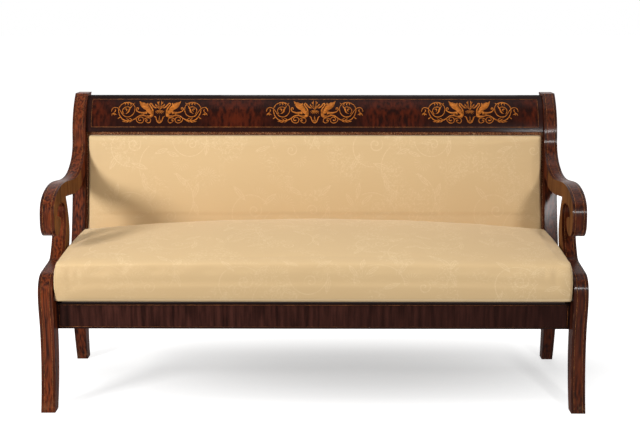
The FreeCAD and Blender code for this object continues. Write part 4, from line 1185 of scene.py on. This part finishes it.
def strap(low, high, run, crossings, first_over):
    """A strap from low to high along axis run, 0 or 1, that goes over and under at its crossings."""
    width = 1 - run
    reach = [high[i] - low[i] for i in range(3)]
    middle = [(a + b) / 2 for a, b in zip(low, high)]
    counts = [STRAP_COLUMNS, STRAP_COLUMNS]
    counts[run] = int(reach[run] / STRAP_STEP)
    piece = new_grid("strap", *counts, reach[:2], middle)
    points = points_of(piece)
    stripe = piece.data.attributes.new("across", "FLOAT", "POINT")
    stripe.data.foreach_set("value", np.abs(points[:, width] - middle[width]) / (reach[width] / 2))
    knots = [low[run], *crossings, high[run]]
    levels = np.array([0.0] + [first_over * (-1) ** i for i in range(len(crossings))] + [0.0])
    slot_share = np.interp(points[:, run], knots, range(len(knots)))
    index = np.minimum(slot_share.astype(int), len(knots) - 2)
    ease = (1 - np.cos((slot_share - index) * math.pi)) / 2
    points[:, 2] += (levels[index] * (1 - ease) + levels[index + 1] * ease) * reach[2] / 2
    place_points(piece, points)
    finish_with(piece, "SOLIDIFY", thickness=STRAP_THICKNESS, offset=0)
    pick(piece)
    bpy.ops.object.shade_smooth_by_angle(angle=FOLD_ANGLE)
    return piece


def strap_bounds(name, axis):
    """The edges of each strap in a node, in pairs, along the axis that they are spaced on."""
    edges = np.unique(np.round(points_of(node[name])[:, axis], 4))
    return list(zip(edges[::2], edges[1::2]))


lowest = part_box("seat_webbing_cross")[0].z
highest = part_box("seat_webbing_long")[1].z


def woven(name, source, run, crossings, first_over):
    """All straps that run one way, joined into one cloth, which rests on two members of the seat's frame."""
    low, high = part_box(source)
    straps = []
    for number, edges in enumerate(strap_bounds(source, 1 - run)):
        start, end = [low.x, low.y, lowest], [high.x, high.y, highest]
        start[1 - run], end[1 - run] = edges
        straps.append(strap(start, end, run, crossings, first_over * (-1) ** number))
    made = joined(name, straps, jute, "seat")
    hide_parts(source)


cross_lines = [sum(edges) / 2 for edges in strap_bounds("seat_webbing_cross", 0)]
long_lines = [sum(edges) / 2 for edges in strap_bounds("seat_webbing_long", 1)]
woven("webbing_cross", "seat_webbing_cross", 1, long_lines, 1)
woven("webbing_long", "seat_webbing_long", 0, cross_lines, -1)

# %% [markdown]
# The straps of the back, the hessian and the cloth on the outside of the back are flat goods stretched
# over the frame. The back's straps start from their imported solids, cut finer and slackened a little.
# The two cloths start as grids: the hessian is laid on the webbing, and the outside cloth is wrapped
# onto the hollow of the back, with faint pulls from its tacked edge and a turned-in hem.

# %% Webbing of the back
SLACK = 0.0002
STRAP_CUTS = 42
STRAP_WAVE = 21
back_straps = copy_of("back_webbing", "back_straps")
strap_low, strap_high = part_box("back_webbing")
for x in np.linspace(strap_low.x, strap_high.x, STRAP_CUTS)[1:-1]:
    edit(back_straps)
    bpy.ops.mesh.bisect(plane_co=(x, 0, 0), plane_no=(1, 0, 0))
    leave_edit()
points = points_of(back_straps)
points[:, 1] -= SLACK * np.cos(points[:, 0] * STRAP_WAVE)
place_points(back_straps, points)
jute_back = plain_cloth("jute_back", *JUTE, standing=True)
joined("back_straps", [back_straps], jute_back, "frame")
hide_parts("back_webbing")

# %% Hessian under the seat
CLOTH_THICKNESS = 0.0008
WAVE_ACROSS, WAVE_DEEP = 43, 61
low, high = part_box("seat_hessian")
hessian = new_grid("hessian", 120, 34, (high.x - low.x, high.y - low.y), (low + high) / 2)
points = points_of(hessian)
points[:, 2] += SLACK * np.sin(points[:, 0] * WAVE_ACROSS) * np.cos(points[:, 1] * WAVE_DEEP)
place_points(hessian, points)
finish_with(hessian, "SOLIDIFY", thickness=CLOTH_THICKNESS, offset=0)
joined("hessian", [hessian], hessian_finish, "seat")
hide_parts("seat_hessian")

# %% Cloth on the outside of the back
EDGE_MARGIN = 0.001
SUNK = 0.0005
PULL, PULL_REACH, PULL_WAVE = 0.00035, 0.03, 97
HEM, HEM_INSET, HEM_WIDTH = 0.0009, 0.006, 0.004
low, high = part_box("outside_back_cloth")
size = (high.x - low.x - 2 * EDGE_MARGIN, high.z - low.z - 2 * EDGE_MARGIN)
outside = new_grid("outside_cloth", 180, 60, size, (0, 1.0, (low.z + high.z) / 2), upright=True)
project_on(outside, "outside_back_cloth", -1)
points = points_of(outside)
from_edge = inside(points, low, high)
pulls = np.sin(points[:, 0] * PULL_WAVE) * np.exp(-from_edge / PULL_REACH)
hem = np.exp(-((from_edge - HEM_INSET) / HEM_WIDTH) ** 2)
points[:, 1] += -SUNK + PULL * pulls + HEM * hem
place_points(outside, points)
finish_with(outside, "SOLIDIFY", thickness=CLOTH_THICKNESS, offset=0)
pick(outside)
bpy.ops.object.shade_smooth_by_angle(angle=FOLD_ANGLE)
joined("outside_cloth", [outside], lining, "frame")
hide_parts("outside_back_cloth")

# %% [markdown]
# Last, the sizes of the imported model and of the dressed one are written down side by side.

# %% Size
size = {"cad": [list(corner) for corner in cad_box], "visual": [list(corner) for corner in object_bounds()]}
print(size)
